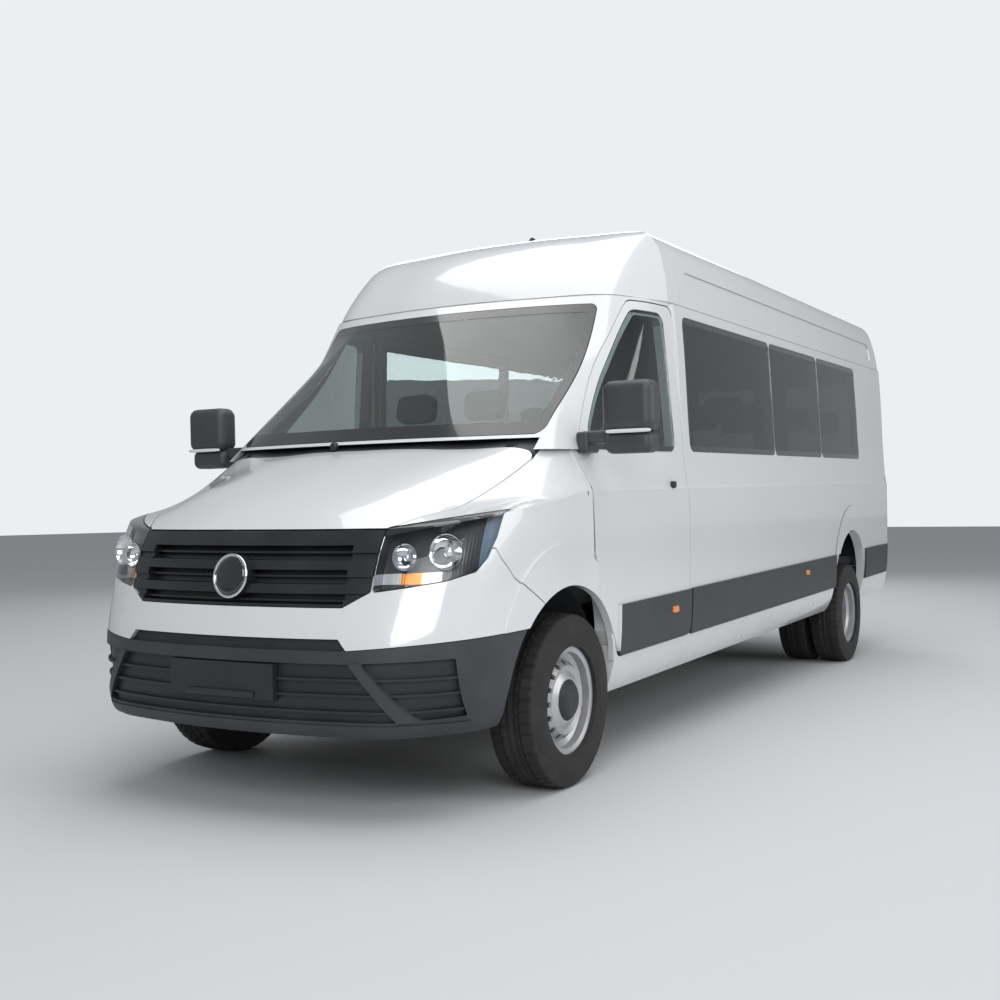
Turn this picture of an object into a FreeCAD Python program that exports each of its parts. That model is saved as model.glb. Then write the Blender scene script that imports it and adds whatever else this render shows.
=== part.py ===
import FreeCAD, Part
import math
import os
import Sketcher
from FreeCAD import Placement, Rotation, Vector

# A long, high-roof minibus with twin rear wheels, in millimetres.
# It faces -Y, its left side is +X, and it stands on the ground plane at Z = 0.
# Body pieces are drawn level, with Y measured back from the front bumper, and are then tilted
# nose down by the rake, about the line on the ground under the front axle.

doc = FreeCAD.newDocument("minibus")
sheet = doc.addObject("Spreadsheet::Sheet", "sizes")

sizes = [
    ("wheelbase", 4490, "front axle to rear axle"),
    ("front_overhang", 991, "front bumper to front axle"),
    ("rear_overhang", 1355, "rear axle to rear doors"),
    ("rake", 1.2, "degrees by which the body sits nose down"),
    ("body_width", 2030, "outside of the side panels"),
    ("sill_height", 318, "lower edge of the sides"),
    ("strip_bottom", 484, "lower edge of the dark side strip"),
    ("strip_top", 712, "upper edge of the dark side strip"),
    ("strip_proud", 14, "how far the strip stands out"),
    ("belt_height", 1212, "crease along the sides"),
    ("glass_base", 1399, "lower edge of the side windows"),
    ("glass_top", 2083, "upper edge of the side windows"),
    ("gutter_height", 2138, "seam between sides and roof"),
    ("roof_height", 2580, "top of the high roof"),
    ("side_wall", 56, "side panels with their lining"),
    ("roof_wall", 40, "roof with its lining"),
    ("skin", 24, "front end panels with their flanges"),
    ("glass", 6, "window glass"),
    ("shut_gap", 6, "gap round doors and bonnet"),
    ("screen_base_y", 1059, "windscreen lower corners, back from the bumper"),
    ("screen_base_z", 1459, "windscreen lower corners, height"),
    ("screen_top_z", 2094, "windscreen upper corners, height"),
    ("screen_base_half", 827, "half width at the windscreen's foot"),
    ("screen_top_half", 765, "half width at the windscreen's head"),
    ("screen_slope", 1.061, "run back for each unit of rise"),
    ("screen_bow", 120, "how far the middle of the windscreen bows forward"),
    ("bonnet_rear_y", 986, "rear corners of the bonnet"),
    ("bonnet_bow", 84, "how far the middle of the bonnet's rear edge lies ahead of its corners"),
    ("bonnet_rear_half", 838, "half width of the bonnet at the rear"),
    ("grille_base", 812, "lower edge of the grille"),
    ("grille_top", 1084, "upper edge of the grille"),
    ("grille_base_half", 503, "half width of the grille below"),
    ("grille_top_half", 586, "half width of the grille above"),
    ("slot_top", 697, "upper edge of the dark air intake"),
    ("slot_half", 505, "half width of the air intake"),
    ("slot_base", 657, "lower edge of the air intake"),
    ("intake_top", 612, "upper edge of the slatted intakes"),
    ("intake_base", 402, "lower edge of the slatted intakes"),
    ("bumper_end", 640, "rear edge of the dark bumper, cut off by the wheel opening"),
    ("bumper_bottom", 345, "lower edge of the front bumper"),
    ("door_front", 1160, "front edge of the front doors"),
    ("door_rear", 2245, "rear edge of the front doors"),
    ("door_bottom", 486, "lower edge of the front doors"),
    ("door_top", 2118, "upper edge of the front doors"),
    ("door_angle", 68, "opening angle of the front doors"),
    ("pillar_y", 2262, "front edge of the side panels"),
    ("window_front", 2350, "front edge of the side windows"),
    ("window_rear", 5885, "rear edge of the side windows"),
    ("window_post", 70, "post between two side windows"),
    ("sliding_front", 2320, "front edge of the sliding door"),
    ("sliding_rear", 3812, "rear edge of the sliding door"),
    ("sliding_bottom", 420, "lower edge of the sliding door"),
    ("rear_door_half", 858, "outer edge of each rear door"),
    ("rear_door_bottom", 520, "lower edge of the rear doors"),
    ("rear_door_top", 2330, "upper edge of the rear doors"),
    ("rear_wall", 62, "thickness of the rear doors"),
    ("rear_door_gap", 14, "between the two rear doors"),
    ("tow_bore", 24, "bore of the towing eye's socket"),
    ("tow_depth", 60, "depth of the towing eye's socket"),
    ("arch_radius", 430, "wheel openings"),
    ("front_arch_rise", 403, "height of the middle of the front wheel openings"),
    ("rear_arch_rise", 440, "height of the middle of the rear wheel openings"),
    ("flare", 9, "how far the flares round the wheels stand out"),
    ("front_track", 1748, "between the middles of the front wheels"),
    ("tyre_radius", 357, "outside of the tyres"),
    ("tyre_width", 205, "width of the tyres"),
    ("rim_radius", 222, "flange of the rims"),
    ("rim_width", 168, "width of the rims over the flanges"),
    ("bead_radius", 203, "seat of the tyres"),
    ("hub_radius", 66, "centre boss of the front wheels"),
    ("twin_outer", 888, "middle of the outer rear wheel, from the centre line"),
    ("twin_spacing", 242, "between the middles of the twin wheels"),
    ("kingpin_half", 825, "steering axis, from the centre line"),
    ("steer_angle", 35, "steering lock of the front wheels"),
    ("floor_height", 690, "top of the floor"),
    ("floor_thick", 45, "thickness of the floor"),
    ("rail_half", 420, "middle of the chassis rails"),
    ("rail_height", 130, "height of the chassis rails"),
    ("rail_width", 70, "width of the chassis rails"),
    ("seat_pitch", 770, "between two rows of seats"),
    ("seat_width", 440, "width of one seat"),
    ("aisle", 380, "width of the way between the seats"),
]
for row, (alias, value, note) in enumerate(sizes, start=1):
    sheet.set("A%d" % row, note)
    sheet.set("B%d" % row, str(value))
    sheet.setAlias("B%d" % row, alias)
doc.recompute()


def size(alias):
    return float(sheet.get(alias))


length = size("front_overhang") + size("wheelbase") + size("rear_overhang")
front_axle = size("front_overhang")
half_width = size("body_width") / 2
rake = size("rake")
wheel_offset = size("tyre_radius") * math.sin(math.radians(rake))

body_pose = Placement(Vector(0, 0, 0), Rotation(Vector(1, 0, 0), rake), Vector(0, front_axle, 0))
ground_pose = Placement()


def in_body(ground_point):
    """A point of the level ground frame as the raked body's frame has it."""
    return body_pose.inverse().multVec(ground_point)


# Helpers for outlines


def spline(points):
    curve = Part.BSplineCurve()
    curve.interpolate(points)
    return curve.toShape()


def polygon(points):
    return Part.makePolygon(points + [points[0]])


def rounded(points, radius):
    """A closed outline of straight runs whose corners are rounded."""
    edges = []
    count = len(points)
    starts = []
    for i in range(count):
        before, here, after = points[i - 1], points[i], points[(i + 1) % count]
        back = (before - here).normalize()
        ahead = (after - here).normalize()
        half_turn = back.getAngle(ahead) / 2
        reach = min(
            radius / math.tan(half_turn),
            0.45 * before.distanceToPoint(here),
            0.45 * after.distanceToPoint(here),
        )
        bulge = reach * math.tan(half_turn)
        bisector = (back + ahead).normalize()
        centre = here + bisector * (reach / math.cos(half_turn))
        starts.append((here + back * reach, centre - bisector * bulge, here + ahead * reach))
    for i in range(count):
        first, middle, last = starts[i]
        edges.append(Part.Arc(first, middle, last).toShape())
        following = starts[(i + 1) % count][0]
        if last.distanceToPoint(following) > 0.01:
            edges.append(Part.makeLine(last, following))
    return Part.Wire(edges)


def side_prism(points, radius, low, high):
    """An outline given as (y, z) and drawn across the vehicle from x = low to x = high."""
    wire = rounded([Vector(low, y, z) for y, z in points], radius)
    return Part.Face(wire).extrude(Vector(high - low, 0, 0))


def front_prism(points, radius, low, high):
    """An outline given as (x, z) and drawn along the vehicle from y = low to y = high."""
    wire = rounded([Vector(x, low, z) for x, z in points], radius)
    return Part.Face(wire).extrude(Vector(0, high - low, 0))


def plan_prism(points, radius, low, high):
    """An outline given as (x, y) and drawn upwards from z = low to z = high."""
    wire = rounded([Vector(x, y, low) for x, y in points], radius)
    return Part.Face(wire).extrude(Vector(0, 0, high - low))


def block(x, y, z):
    """A box from three pairs of limits."""
    return Part.makeBox(x[1] - x[0], y[1] - y[0], z[1] - z[0], Vector(x[0], y[0], z[0]))


def mirrored(shape):
    return shape.mirror(Vector(0, 0, 0), Vector(1, 0, 0))


def biggest(shape):
    """The largest solid of a shape."""
    return max(shape.Solids, key=lambda solid: solid.Volume)


def chunks(shape, least=2.0e4):
    """The solids of a shape that are larger than a crumb."""
    kept = [solid for solid in shape.Solids if solid.Volume > least]
    return kept[0] if len(kept) == 1 else Part.makeCompound(kept)


def piece(label, shape, pose=body_pose):
    made = doc.addObject("Part::Feature", label)
    made.Label = label
    made.Shape = shape
    made.Placement = pose
    return made


# The body's cross-section, as half outlines (x, z) from the sill up to the top of the roof

sill, belt = size("sill_height"), size("belt_height")
glass_base, glass_top = size("glass_base"), size("glass_top")
gutter, roof_height = size("gutter_height"), size("roof_height")
crease_step = 9
crease_rise = 16

lower_side = [
    (half_width - 92, sill),
    (half_width - 55, sill + 62),
    (half_width - 26, size("strip_bottom")),
    (half_width - 9, size("strip_top")),
    (half_width, 0.45 * size("strip_top") + 0.55 * belt),
    (half_width - 3, belt),
]
upper_side = [
    (half_width - 3 - crease_step, belt + crease_rise),
    (half_width - 30, glass_base),
    (half_width - 46, 0.5 * (glass_base + glass_top)),
    (half_width - 65, glass_top),
    (half_width - 70, gutter),
]
roof_rise = roof_height - gutter
roof_side = [
    (half_width - 78, gutter),
    (half_width - 96, gutter + 0.24 * roof_rise),
    (half_width - 128, gutter + 0.52 * roof_rise),
    (half_width - 191, gutter + 0.805 * roof_rise),
    (half_width - 300, gutter + 0.925 * roof_rise),
    (half_width - 560, roof_height - 8),
]


def inset(points, depth):
    """Half outline points moved inwards, square to the outline."""
    moved = []
    for i, (x, z) in enumerate(points):
        x0, z0 = points[max(i - 1, 0)]
        x1, z1 = points[min(i + 1, len(points) - 1)]
        run = math.hypot(x1 - x0, z1 - z0)
        moved.append((x - depth * (z1 - z0) / run, z + depth * (x1 - x0) / run))
    return moved


def section_face(y, side_depth, roof_depth, foot):
    """The closed cross-section at y, with its sides and roof moved in and its foot lowered."""
    low = inset(lower_side, side_depth)
    high = inset(upper_side, side_depth)
    top = inset(roof_side, roof_depth)
    at = [Vector(x, y, z) for x, z in low]
    at_high = [Vector(x, y, z) for x, z in high]
    crown = [Vector(x, y, z) for x, z in top] + [Vector(0, y, roof_height - roof_depth)]
    crown += [Vector(-x, y, z) for x, z in reversed(top)]
    foot = min(foot, at[0].z)
    foot_left = Vector(at[0].x, y, foot)
    edges = []
    for sign in (1, -1):
        flip = [Vector(sign * p.x, y, p.z) for p in at]
        flip_high = [Vector(sign * p.x, y, p.z) for p in at_high]
        edges.append(spline(flip))
        edges.append(Part.makeLine(flip[-1], flip_high[0]))
        edges.append(spline(flip_high))
        edges.append(Part.makeLine(flip_high[-1], Vector(sign * crown[0].x, y, crown[0].z)))
        if foot < at[0].z - 0.01:
            edges.append(Part.makeLine(flip[0], Vector(sign * foot_left.x, y, foot)))
    edges.append(spline(crown))
    edges.append(Part.makeLine(foot_left, Vector(-foot_left.x, y, foot)))
    return Part.Face(Part.Wire(Part.__sortEdges__(edges)))


def side_half(z):
    """The body's half width at height z."""
    points = lower_side + upper_side + roof_side
    for (x0, z0), (x1, z1) in zip(points, points[1:]):
        if z0 <= z <= z1 and z1 > z0:
            return x0 + (x1 - x0) * (z - z0) / (z1 - z0)
    return points[0][0]


# The rear of the body in plan: a gentle bow with rounded corners


def rear_plan(depth):
    points = [
        (0, length),
        (500, length - 7),
        (800, length - 26),
        (925, length - 64),
        (1000, length - 140),
        (1064, length - 280),
    ]
    left = [Vector(x, y - depth, 0) for x, y in points]
    right = [Vector(-p.x, p.y, 0) for p in reversed(left[1:])]
    front = 500
    corner_left, corner_right = Vector(left[-1].x, front, 0), Vector(-left[-1].x, front, 0)
    wire = Part.Wire(
        [
            spline(right + left),
            Part.makeLine(left[-1], corner_left),
            Part.makeLine(corner_left, corner_right),
            Part.makeLine(corner_right, right[0]),
        ]
    )
    return Part.Face(wire).extrude(Vector(0, 0, 3000))


def plan_solid(sections, rear):
    """A solid lofted upwards through half outlines [(z, [(x, y), ...]), ...], closed at the rear."""
    wires = []
    for z, points in sections:
        left = [Vector(x, y, z) for x, y in points]
        right = [Vector(-p.x, p.y, z) for p in reversed(left[1:])]
        corner_left, corner_right = Vector(left[-1].x, rear, z), Vector(-left[-1].x, rear, z)
        wires.append(
            Part.Wire(
                [
                    spline(right + left),
                    Part.makeLine(left[-1], corner_left),
                    Part.makeLine(corner_left, corner_right),
                    Part.makeLine(corner_right, right[0]),
                ]
            )
        )
    return Part.makeLoft(wires, True, len(wires) == 2)


# The cab above the window line: windscreen, pillars and the upper door frames in one outline

screen_base_y, screen_base_z = size("screen_base_y"), size("screen_base_z")
screen_top_z = size("screen_top_z")
pillar_width = 68
pillar_y = size("pillar_y")
cab_rear = pillar_y + 40


def screen_corner(z):
    """The windscreen's corner at height z, as (half width, distance back)."""
    share = (z - screen_base_z) / (screen_top_z - screen_base_z)
    half = size("screen_base_half") + share * (size("screen_top_half") - size("screen_base_half"))
    return half, screen_base_y + (z - screen_base_z) * size("screen_slope")


def cab_outline(z, depth):
    """Half outline of the cab at height z, moved in by depth."""
    corner, y = screen_corner(z)
    bow = size("screen_bow")
    outer = corner + pillar_width
    full = side_half(z)
    run = cab_rear - y
    points = [(0, y - bow), (0.35 * corner, y - 0.88 * bow), (0.7 * corner, y - 0.51 * bow)]
    points += [(corner, y), (corner + 0.55 * pillar_width, y + 22), (outer, y + 74)]
    for share, fill in ((0.3, 0.42), (0.62, 0.82), (1.0, 1.0)):
        points.append((outer + fill * (full - outer), y + share * run))
    centre_y = y + 0.5 * run
    moved = []
    for x, back in points:
        lean = 1.35 if back < y + 40 else 1.0
        moved.append((x - depth * (x / full) ** 2, back + depth * lean * (1 - (back - y) / run)))
    return moved


def cab_solid(depth):
    low, high = glass_base - 8, gutter + 4
    return plan_solid([(z, cab_outline(z, depth)) for z in (low, high)], cab_rear + 20)


# The shoulder between the crease and the window line, where the cab narrows towards the front


def shoulder_solid(depth):
    rear = cab_rear
    front = 900
    low = belt + crease_rise
    high = glass_base - 8
    corner, y = screen_corner(high)
    outline = cab_outline(high, 0)[5:]
    wires = []
    for z, narrow in ((low, 0), (high, 1)):
        full = side_half(z) - depth
        left = []
        for x, back in outline:
            left.append(Vector(full - narrow * (side_half(z) - x), back, z))
        foremost = Vector(left[0].x - narrow * 14, front, z)
        left = [foremost] + left
        right = [Vector(-p.x, p.y, z) for p in reversed(left)]
        wires.append(
            Part.Wire(
                [
                    spline(left),
                    Part.makeLine(left[-1], right[0]),
                    spline(right),
                    Part.makeLine(right[-1], left[0]),
                ]
            )
        )
    return Part.makeLoft(wires, True, True)


# The front of the high roof, rounded in plan and rising back from the windscreen


def cap_outline(z, back, spread, depth):
    corner = size("screen_top_half") - 4
    bow = size("screen_bow")
    points = [
        (0, back - bow),
        (0.35 * corner, back - 0.88 * bow),
        (0.7 * corner, back - 0.5 * bow),
        (corner, back + 6),
        (corner + 0.55 * pillar_width, back + 40),
        (corner + pillar_width + 18, back + 150),
        (half_width - 72 + 0.4 * spread, back + 460),
        (half_width - 30 + spread, back + 900),
    ]
    return [(x - depth * (x / half_width) ** 2, y + depth) for x, y in points]


def cap_solid(depth):
    levels = [(0, 0, 0), (0.26, 0.2, 4), (0.5, 0.43, 8), (0.71, 0.68, 10), (0.86, 1.0, 12)]
    levels += [(0.96, 1.55, 14), (1.05, 2.6, 16)]
    low_y = screen_corner(gutter)[1]
    cap_run = 470
    sections = []
    for rise, run, spread in levels:
        z = gutter + rise * roof_rise
        sections.append((z, cap_outline(z, low_y + run * cap_run, spread, depth)))
    return plan_solid(sections, low_y + 3 * cap_run + 900)


# The nose and wings below the window line, lofted upwards through plan outlines

nose_rear = 1230


def nose_outline(z, y0, depth):
    full = side_half(z)
    points = [
        (0, y0),
        (250, y0 + 11),
        (505, y0 + 47),
        (700, y0 + 108),
        (0.835 * full, y0 * 0.85 + 205),
        (0.925 * full, y0 * 0.6 + 335),
        (0.968 * full, y0 * 0.3 + 545),
        (0.988 * full, 850),
        (full, nose_rear - 60),
    ]
    moved = []
    for i, (x, y) in enumerate(points):
        x0, y0_ = points[max(i - 1, 0)]
        x1, y1 = points[min(i + 1, len(points) - 1)]
        run = math.hypot(x1 - x0, y1 - y0_)
        moved.append((x - depth * (y1 - y0_) / run if i else 0, y + depth * (x1 - x0) / run))
    return moved


nose_levels = [
    (size("bumper_bottom") - 8, 52),
    (size("bumper_bottom") + 62, 6),
    (0.5 * (size("bumper_bottom") + size("slot_top")) + 20, 0),
    (size("slot_top") - 14, 12),
    (size("grille_base") - 8, 50),
    (0.5 * (size("grille_base") + size("grille_top")) - 10, 90),
    (size("grille_top"), 165),
    (belt, 270),
    (belt + 120, 400),
    (belt + 300, 500),
]


def nose_solid(depth):
    return plan_solid([(z, nose_outline(z, y0, depth)) for z, y0 in nose_levels], nose_rear)


def nose_layer(outer, inner):
    """The layer between two depths under the nose surface, lofted as one ring."""
    wires = []
    for z, y0 in nose_levels:
        runs = []
        for depth in (outer, inner):
            left = [Vector(x, y, z) for x, y in nose_outline(z, y0, depth)]
            runs.append([Vector(-p.x, p.y, z) for p in reversed(left[1:])] + left)
        front, back = runs
        wires.append(
            Part.Wire(
                [
                    spline(front),
                    Part.makeLine(front[-1], back[-1]),
                    spline(back[::-1]),
                    Part.makeLine(back[0], front[0]),
                ]
            )
        )
    return Part.makeLoft(wires, True, False)


# The upper surface of bonnet and wings, lofted back through cross-sections

top_stations = [
    (-80, [(0, 940), (300, 934), (590, 912), (760, 880), (950, 830), (1080, 810)]),
    (60, [(0, 1018), (300, 1012), (590, 990), (760, 950), (950, 900), (1080, 880)]),
    (230, [(0, 1124), (300, 1117), (590, 1085), (760, 1062), (950, 1030), (1080, 1000)]),
    (500, [(0, 1262), (300, 1254), (590, 1222), (760, 1168), (950, 1139), (1080, 1120)]),
    (800, [(0, 1377), (300, 1370), (590, 1345), (790, 1290), (950, 1198), (1080, 1150)]),
    (1050, [(0, 1458), (300, 1452), (590, 1436), (830, 1412), (935, 1300), (1080, 1130)]),
    (1260, [(0, 1520), (300, 1515), (590, 1500), (850, 1470), (940, 1330), (1080, 1150)]),
]


def under_top(depth):
    wires = []
    for y, points in top_stations:
        left = [Vector(x, y, z - depth) for x, z in points]
        right = [Vector(-p.x, y, p.z) for p in reversed(left[1:])]
        foot = [Vector(left[-1].x, y, 250), Vector(-left[-1].x, y, 250)]
        wires.append(
            Part.Wire(
                [
                    spline(right + left),
                    Part.makeLine(left[-1], foot[0]),
                    Part.makeLine(foot[0], foot[1]),
                    Part.makeLine(foot[1], right[0]),
                ]
            )
        )
    return Part.makeLoft(wires, True, False)


# Sketched pieces, whose outlines are tied to the named sizes

cell = "<<sizes>>."


def origin_feature(body, role):
    return [item for item in body.Origin.OriginFeatures if item.Role == role][0]


def new_body(label):
    body = doc.addObject("PartDesign::Body", label)
    body.Label = label
    return body


def tied_sketch(body, plane, corners):
    """A closed outline of straight runs; each corner is a pair of expressions."""
    sketch = body.newObject("Sketcher::SketchObject", "outline")
    sketch.AttachmentSupport = (origin_feature(body, plane), [""])
    sketch.MapMode = "FlatFace"
    count = len(corners)
    places = []
    for across, up in corners:
        sketch.setExpression("AttachmentOffset.Base.x", across)
        sketch.setExpression("AttachmentOffset.Base.y", up)
        sketch.recompute()
        base = sketch.AttachmentOffset.Base
        places.append(Vector(base.x, base.y, 0))
    sketch.setExpression("AttachmentOffset.Base.x", None)
    sketch.setExpression("AttachmentOffset.Base.y", None)
    sketch.AttachmentOffset = Placement()
    for i in range(count):
        sketch.addGeometry(Part.LineSegment(places[i], places[(i + 1) % count]), False)
    for i in range(count):
        sketch.addConstraint(Sketcher.Constraint("Coincident", i, 2, (i + 1) % count, 1))
    for i, (across, up) in enumerate(corners):
        for kind, value, expression in (
            ("DistanceX", places[i].x, across),
            ("DistanceY", places[i].y, up),
        ):
            index = sketch.addConstraint(Sketcher.Constraint(kind, -1, 1, i, 1, value))
            sketch.setExpression("Constraints[%d]" % index, expression)
    return sketch


def revolved(body, corners):
    """Adds an outline of (along the axle, radius) turned about the body's X axis."""
    sketch = tied_sketch(body, "XY_Plane", corners)
    feature = body.newObject("PartDesign::Revolution", "turned")
    feature.Profile = sketch
    feature.ReferenceAxis = (origin_feature(body, "X_Axis"), [""])
    feature.Angle = 360
    body.Tip = feature
    return feature


# Master solids of the body


def both(shape):
    """A shape on the left side and its mirror image on the right."""
    return shape.fuse(mirrored(shape))


gap = size("shut_gap")
side_wall, roof_wall, rear_wall = size("side_wall"), size("roof_wall"), size("rear_wall")
skin, glass = size("skin"), size("glass")
rear_run = length - pillar_y
rear_body = section_face(pillar_y, 0, 0, sill).extrude(Vector(0, rear_run + 50, 0))
rear_body = rear_body.common(rear_plan(0))
rear_space = section_face(pillar_y - 10, side_wall, roof_wall, sill - 20)
rear_space = rear_space.extrude(Vector(0, rear_run + 50, 0)).common(rear_plan(rear_wall))
rear_shell = rear_body.cut(rear_space)
rear_glass_core = section_face(pillar_y - 10, glass, glass, sill - 20)
rear_glass_core = rear_glass_core.extrude(Vector(0, rear_run + 50, 0)).common(rear_plan(glass))
rear_glass_layer = rear_body.cut(rear_glass_core)
rear_seat_core = section_face(pillar_y - 10, glass + 0.5, glass + 0.5, sill - 20)
rear_seat_core = rear_seat_core.extrude(Vector(0, rear_run + 50, 0))
rear_seat_layer = rear_body.cut(rear_seat_core.common(rear_plan(glass + 0.5)))

everything = 4000
crease_top = belt + crease_rise
shoulder_top = glass_base - 8


def lower_cab(depth):
    face = section_face(1090, depth, depth, sill - 20 if depth else sill)
    solid = face.extrude(Vector(0, cab_rear - 1090, 0))
    return solid.common(block((-1200, 1200), (0, everything), (0, crease_top)))


door_wall = 92
door_frame = 46
cab_above = cab_solid(0)
cab_outer = lower_cab(0).fuse([shoulder_solid(0), cab_above])
cab_space = lower_cab(door_wall).fuse([shoulder_solid(0.8 * door_wall), cab_solid(door_frame)])
cab_glass_layer = cab_above.cut(cab_solid(glass))
cab_seat_layer = cab_above.cut(cab_solid(glass + 0.5))

nose_outer = nose_solid(0).common(under_top(0))
nose_space = nose_solid(skin).common(under_top(skin))
nose_shell = nose_outer.cut(nose_space)

# Side openings

rear_axle = front_axle + size("wheelbase") + wheel_offset
front_arch_y = front_axle - 46
rear_arch_y = rear_axle - 6
arch_radius = size("arch_radius")
front_arch_rise, rear_arch_rise = size("front_arch_rise"), size("rear_arch_rise")
flare = size("flare")


def drum(y, z, radius, low, high):
    """A cylinder across the vehicle from x = low to x = high."""
    return Part.makeCylinder(radius, high - low, Vector(low, y, z), Vector(1, 0, 0))


def arch(y, rise, radius, low, high):
    """The round opening over a wheel, with straight cheeks below its middle."""
    cheeks = block((low, high), (y - radius, y + radius), (100, rise))
    return drum(y, rise, radius, low, high).fuse(cheeks)


# The flares are raised bands whose outer edges are rounder and higher than the openings

flare_radius = arch_radius + 10
front_flare_at = (front_arch_y - 53, front_arch_rise + 165)
rear_flare_at = (rear_arch_y - 10, rear_arch_rise + 160)


def front_flare_drum(grow):
    return drum(*front_flare_at, flare_radius + grow, 560, 1150)


window_posts = size("window_front"), size("window_rear")
pane_split = [0.403, 0.702]
pane_gap = 8


def pane_edges():
    start, end = window_posts
    marks = [start] + [start + share * (end - start) for share in pane_split] + [end]
    return list(zip(marks, marks[1:]))


def pane_prism(front, rear, margin, low, high):
    front, rear = front + pane_gap / 2 + margin, rear - pane_gap / 2 - margin
    base, top = glass_base + margin, glass_top - margin
    points = [(front, base), (rear, base), (rear, top), (front, top)]
    return side_prism(points, max(45 - margin, 12), low, high)


seat_lap = 24
side_reach = (600, 1150)


def window_band(margin):
    return [pane_prism(a, b, margin, *side_reach) for a, b in pane_edges()]


door_front, door_rear = size("door_front"), size("door_rear")
door_bottom, door_top = size("door_bottom"), size("door_top")


def screen_line(z):
    return screen_corner(z)[1]


def door_outline(grow):
    """The front door seen from the side, grown by its gap."""
    front, rear = door_front - grow, door_rear + grow
    bottom, top = door_bottom - grow, door_top + grow
    arch_clear = front_arch_y + arch_radius + 42 - grow
    frame_back = 150 - grow
    return [
        (arch_clear, bottom),
        (rear, bottom),
        (rear, top),
        (screen_line(top) + frame_back - 16, top),
        (front + 8, glass_base - 22),
        (front, 0.5 * (belt + size("strip_top"))),
        (front + 80, size("strip_top") + 80),
    ]


def door_prism(grow, low=560, high=1150):
    return side_prism(door_outline(grow), 50, low, high)


def door_window(margin, low=560, high=1150):
    front, rear = door_front + 62 + margin, door_rear - 96 - margin
    base, top = glass_base - 4 + margin, door_top - 44 - margin
    head = screen_line(top) + 185 + 1.6 * margin
    points = [(front + 26 + margin, base), (rear, base), (rear, top), (head, top)]
    return side_prism(points, max(60 - margin, 15), low, high)


# Front openings, drawn as seen from the front

grille_corners = [
    (size("grille_base_half"), size("grille_base")),
    (size("grille_top_half") + 14, size("grille_base") + 56),
    (size("grille_top_half") + 18, size("grille_top") + 4),
]


def grille_prism(grow):
    left = [
        (grille_corners[0][0], grille_corners[0][1] - grow),
        (grille_corners[1][0] + grow, grille_corners[1][1] - grow),
        (grille_corners[2][0] + grow, grille_corners[2][1] + grow),
    ]
    return front_prism(left + [(-x, z) for x, z in reversed(left)], 12, -200, 420)


lamp_inner = size("grille_top_half") + 22


def lamp_prism(grow):
    points = [
        (lamp_inner - grow, size("grille_base") + 54 - grow),
        (720, 882 - grow),
        (850, 904 - grow),
        (918 + 0.5 * grow, 932 - grow),
        (938 + grow, 978),
        (950 + grow, 1050),
        (956 + grow, 1152 + grow),
        (790, 1124 + grow),
        (lamp_inner - grow, size("grille_top") + 8 + grow),
    ]
    return front_prism(points, 14, -200, 640)


slot_top, slot_half, slot_base = size("slot_top"), size("slot_half"), size("slot_base")
bumper_end = size("bumper_end")


def dark_prism(grow):
    """The dark lower part of the bumper."""
    left = [
        (slot_half + grow, slot_top + grow),
        (slot_half + 34 + grow, slot_base + grow),
        (1060, slot_top + grow),
    ]
    points = left + [(1060, 200), (-1060, 200)] + [(-x, z) for x, z in reversed(left)]
    return front_prism(points, 8, -200, bumper_end + grow)


def bumper_side(grow):
    """The bumper's extent seen from the side; its upper rear corner meets the lamp and wing."""
    points = [
        (-100, 200),
        (bumper_end + 90 + grow, 200),
        (bumper_end + 90 + grow, 780 + grow),
        (535 + grow, 892 + grow),
        (462 + grow, 972 + grow),
        (440 + grow, 1010 + grow),
        (-100, 1010 + grow),
    ]
    return side_prism(points, 10, -1200, 1200)


def bonnet_prism(grow):
    rear = size("bonnet_rear_y") + grow
    half = size("bonnet_rear_half") + grow
    bow = size("bonnet_bow")
    left = [
        (lamp_inner - 4 + grow, -150),
        (lamp_inner - 4 + grow, 235),
        (757 + grow, 460),
        (half, rear),
        (0.5 * half, rear - 0.78 * bow),
    ]
    points = left + [(0, rear - bow)] + [(-x, y) for x, y in reversed(left)]
    return plan_prism(points, 30, 800, 1700)


# Front bumper: the white band and the dark lower part with its slats

front_arch_cut = both(arch(front_arch_y, front_arch_rise, arch_radius, 560, 1150))
rear_arch_cut = both(arch(rear_arch_y, rear_arch_rise, arch_radius, 500, 1150))


def side_layer(depth, height, y, z):
    """A layer of the level sides between two depths, within limits of y and z."""
    reach = y[1] - y[0]
    outer = section_face(y[0], depth, 0, sill).extrude(Vector(0, reach, 0))
    inner = section_face(y[0], depth + height, 0, sill).extrude(Vector(0, reach, 0))
    return outer.cut(inner).common(block((700, 1200), y, z))


raised_nose = nose_solid(-flare).common(under_top(-flare)).cut(nose_solid(0.5 * skin))
front_flare = raised_nose.common(front_flare_drum(0)).common(
    block((600, 1200), (400, nose_rear), (size("strip_bottom"), 1100))
)

white_bumper = nose_shell.common(bumper_side(0)).fuse(both(front_flare.common(bumper_side(0))))
white_bumper = white_bumper.cut([dark_prism(3), grille_prism(3), front_arch_cut])
white_bumper = white_bumper.cut([lamp_prism(4), mirrored(lamp_prism(4))])
white_bumper = white_bumper.cut(block((-1200, 1200), (-200, 800), (size("grille_top") - 60, 2000)))
white_bumper = white_bumper.cut(bonnet_prism(gap).common(block((-620, 620), (0, 800), (1040, 2000))))
bumper_front = piece("bumper_front", chunks(white_bumper, 4.0e5))

# The dark part: recessed intakes, closed behind, with slats, a raised strut on each side of the
# middle one, a flat panel for the plate and a lip along the foot

intake_top, intake_base = size("intake_top"), size("intake_base")
recess = 18
backing = 6
slat_set = 3
slat_depth = 10
strut_width = 40


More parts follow.
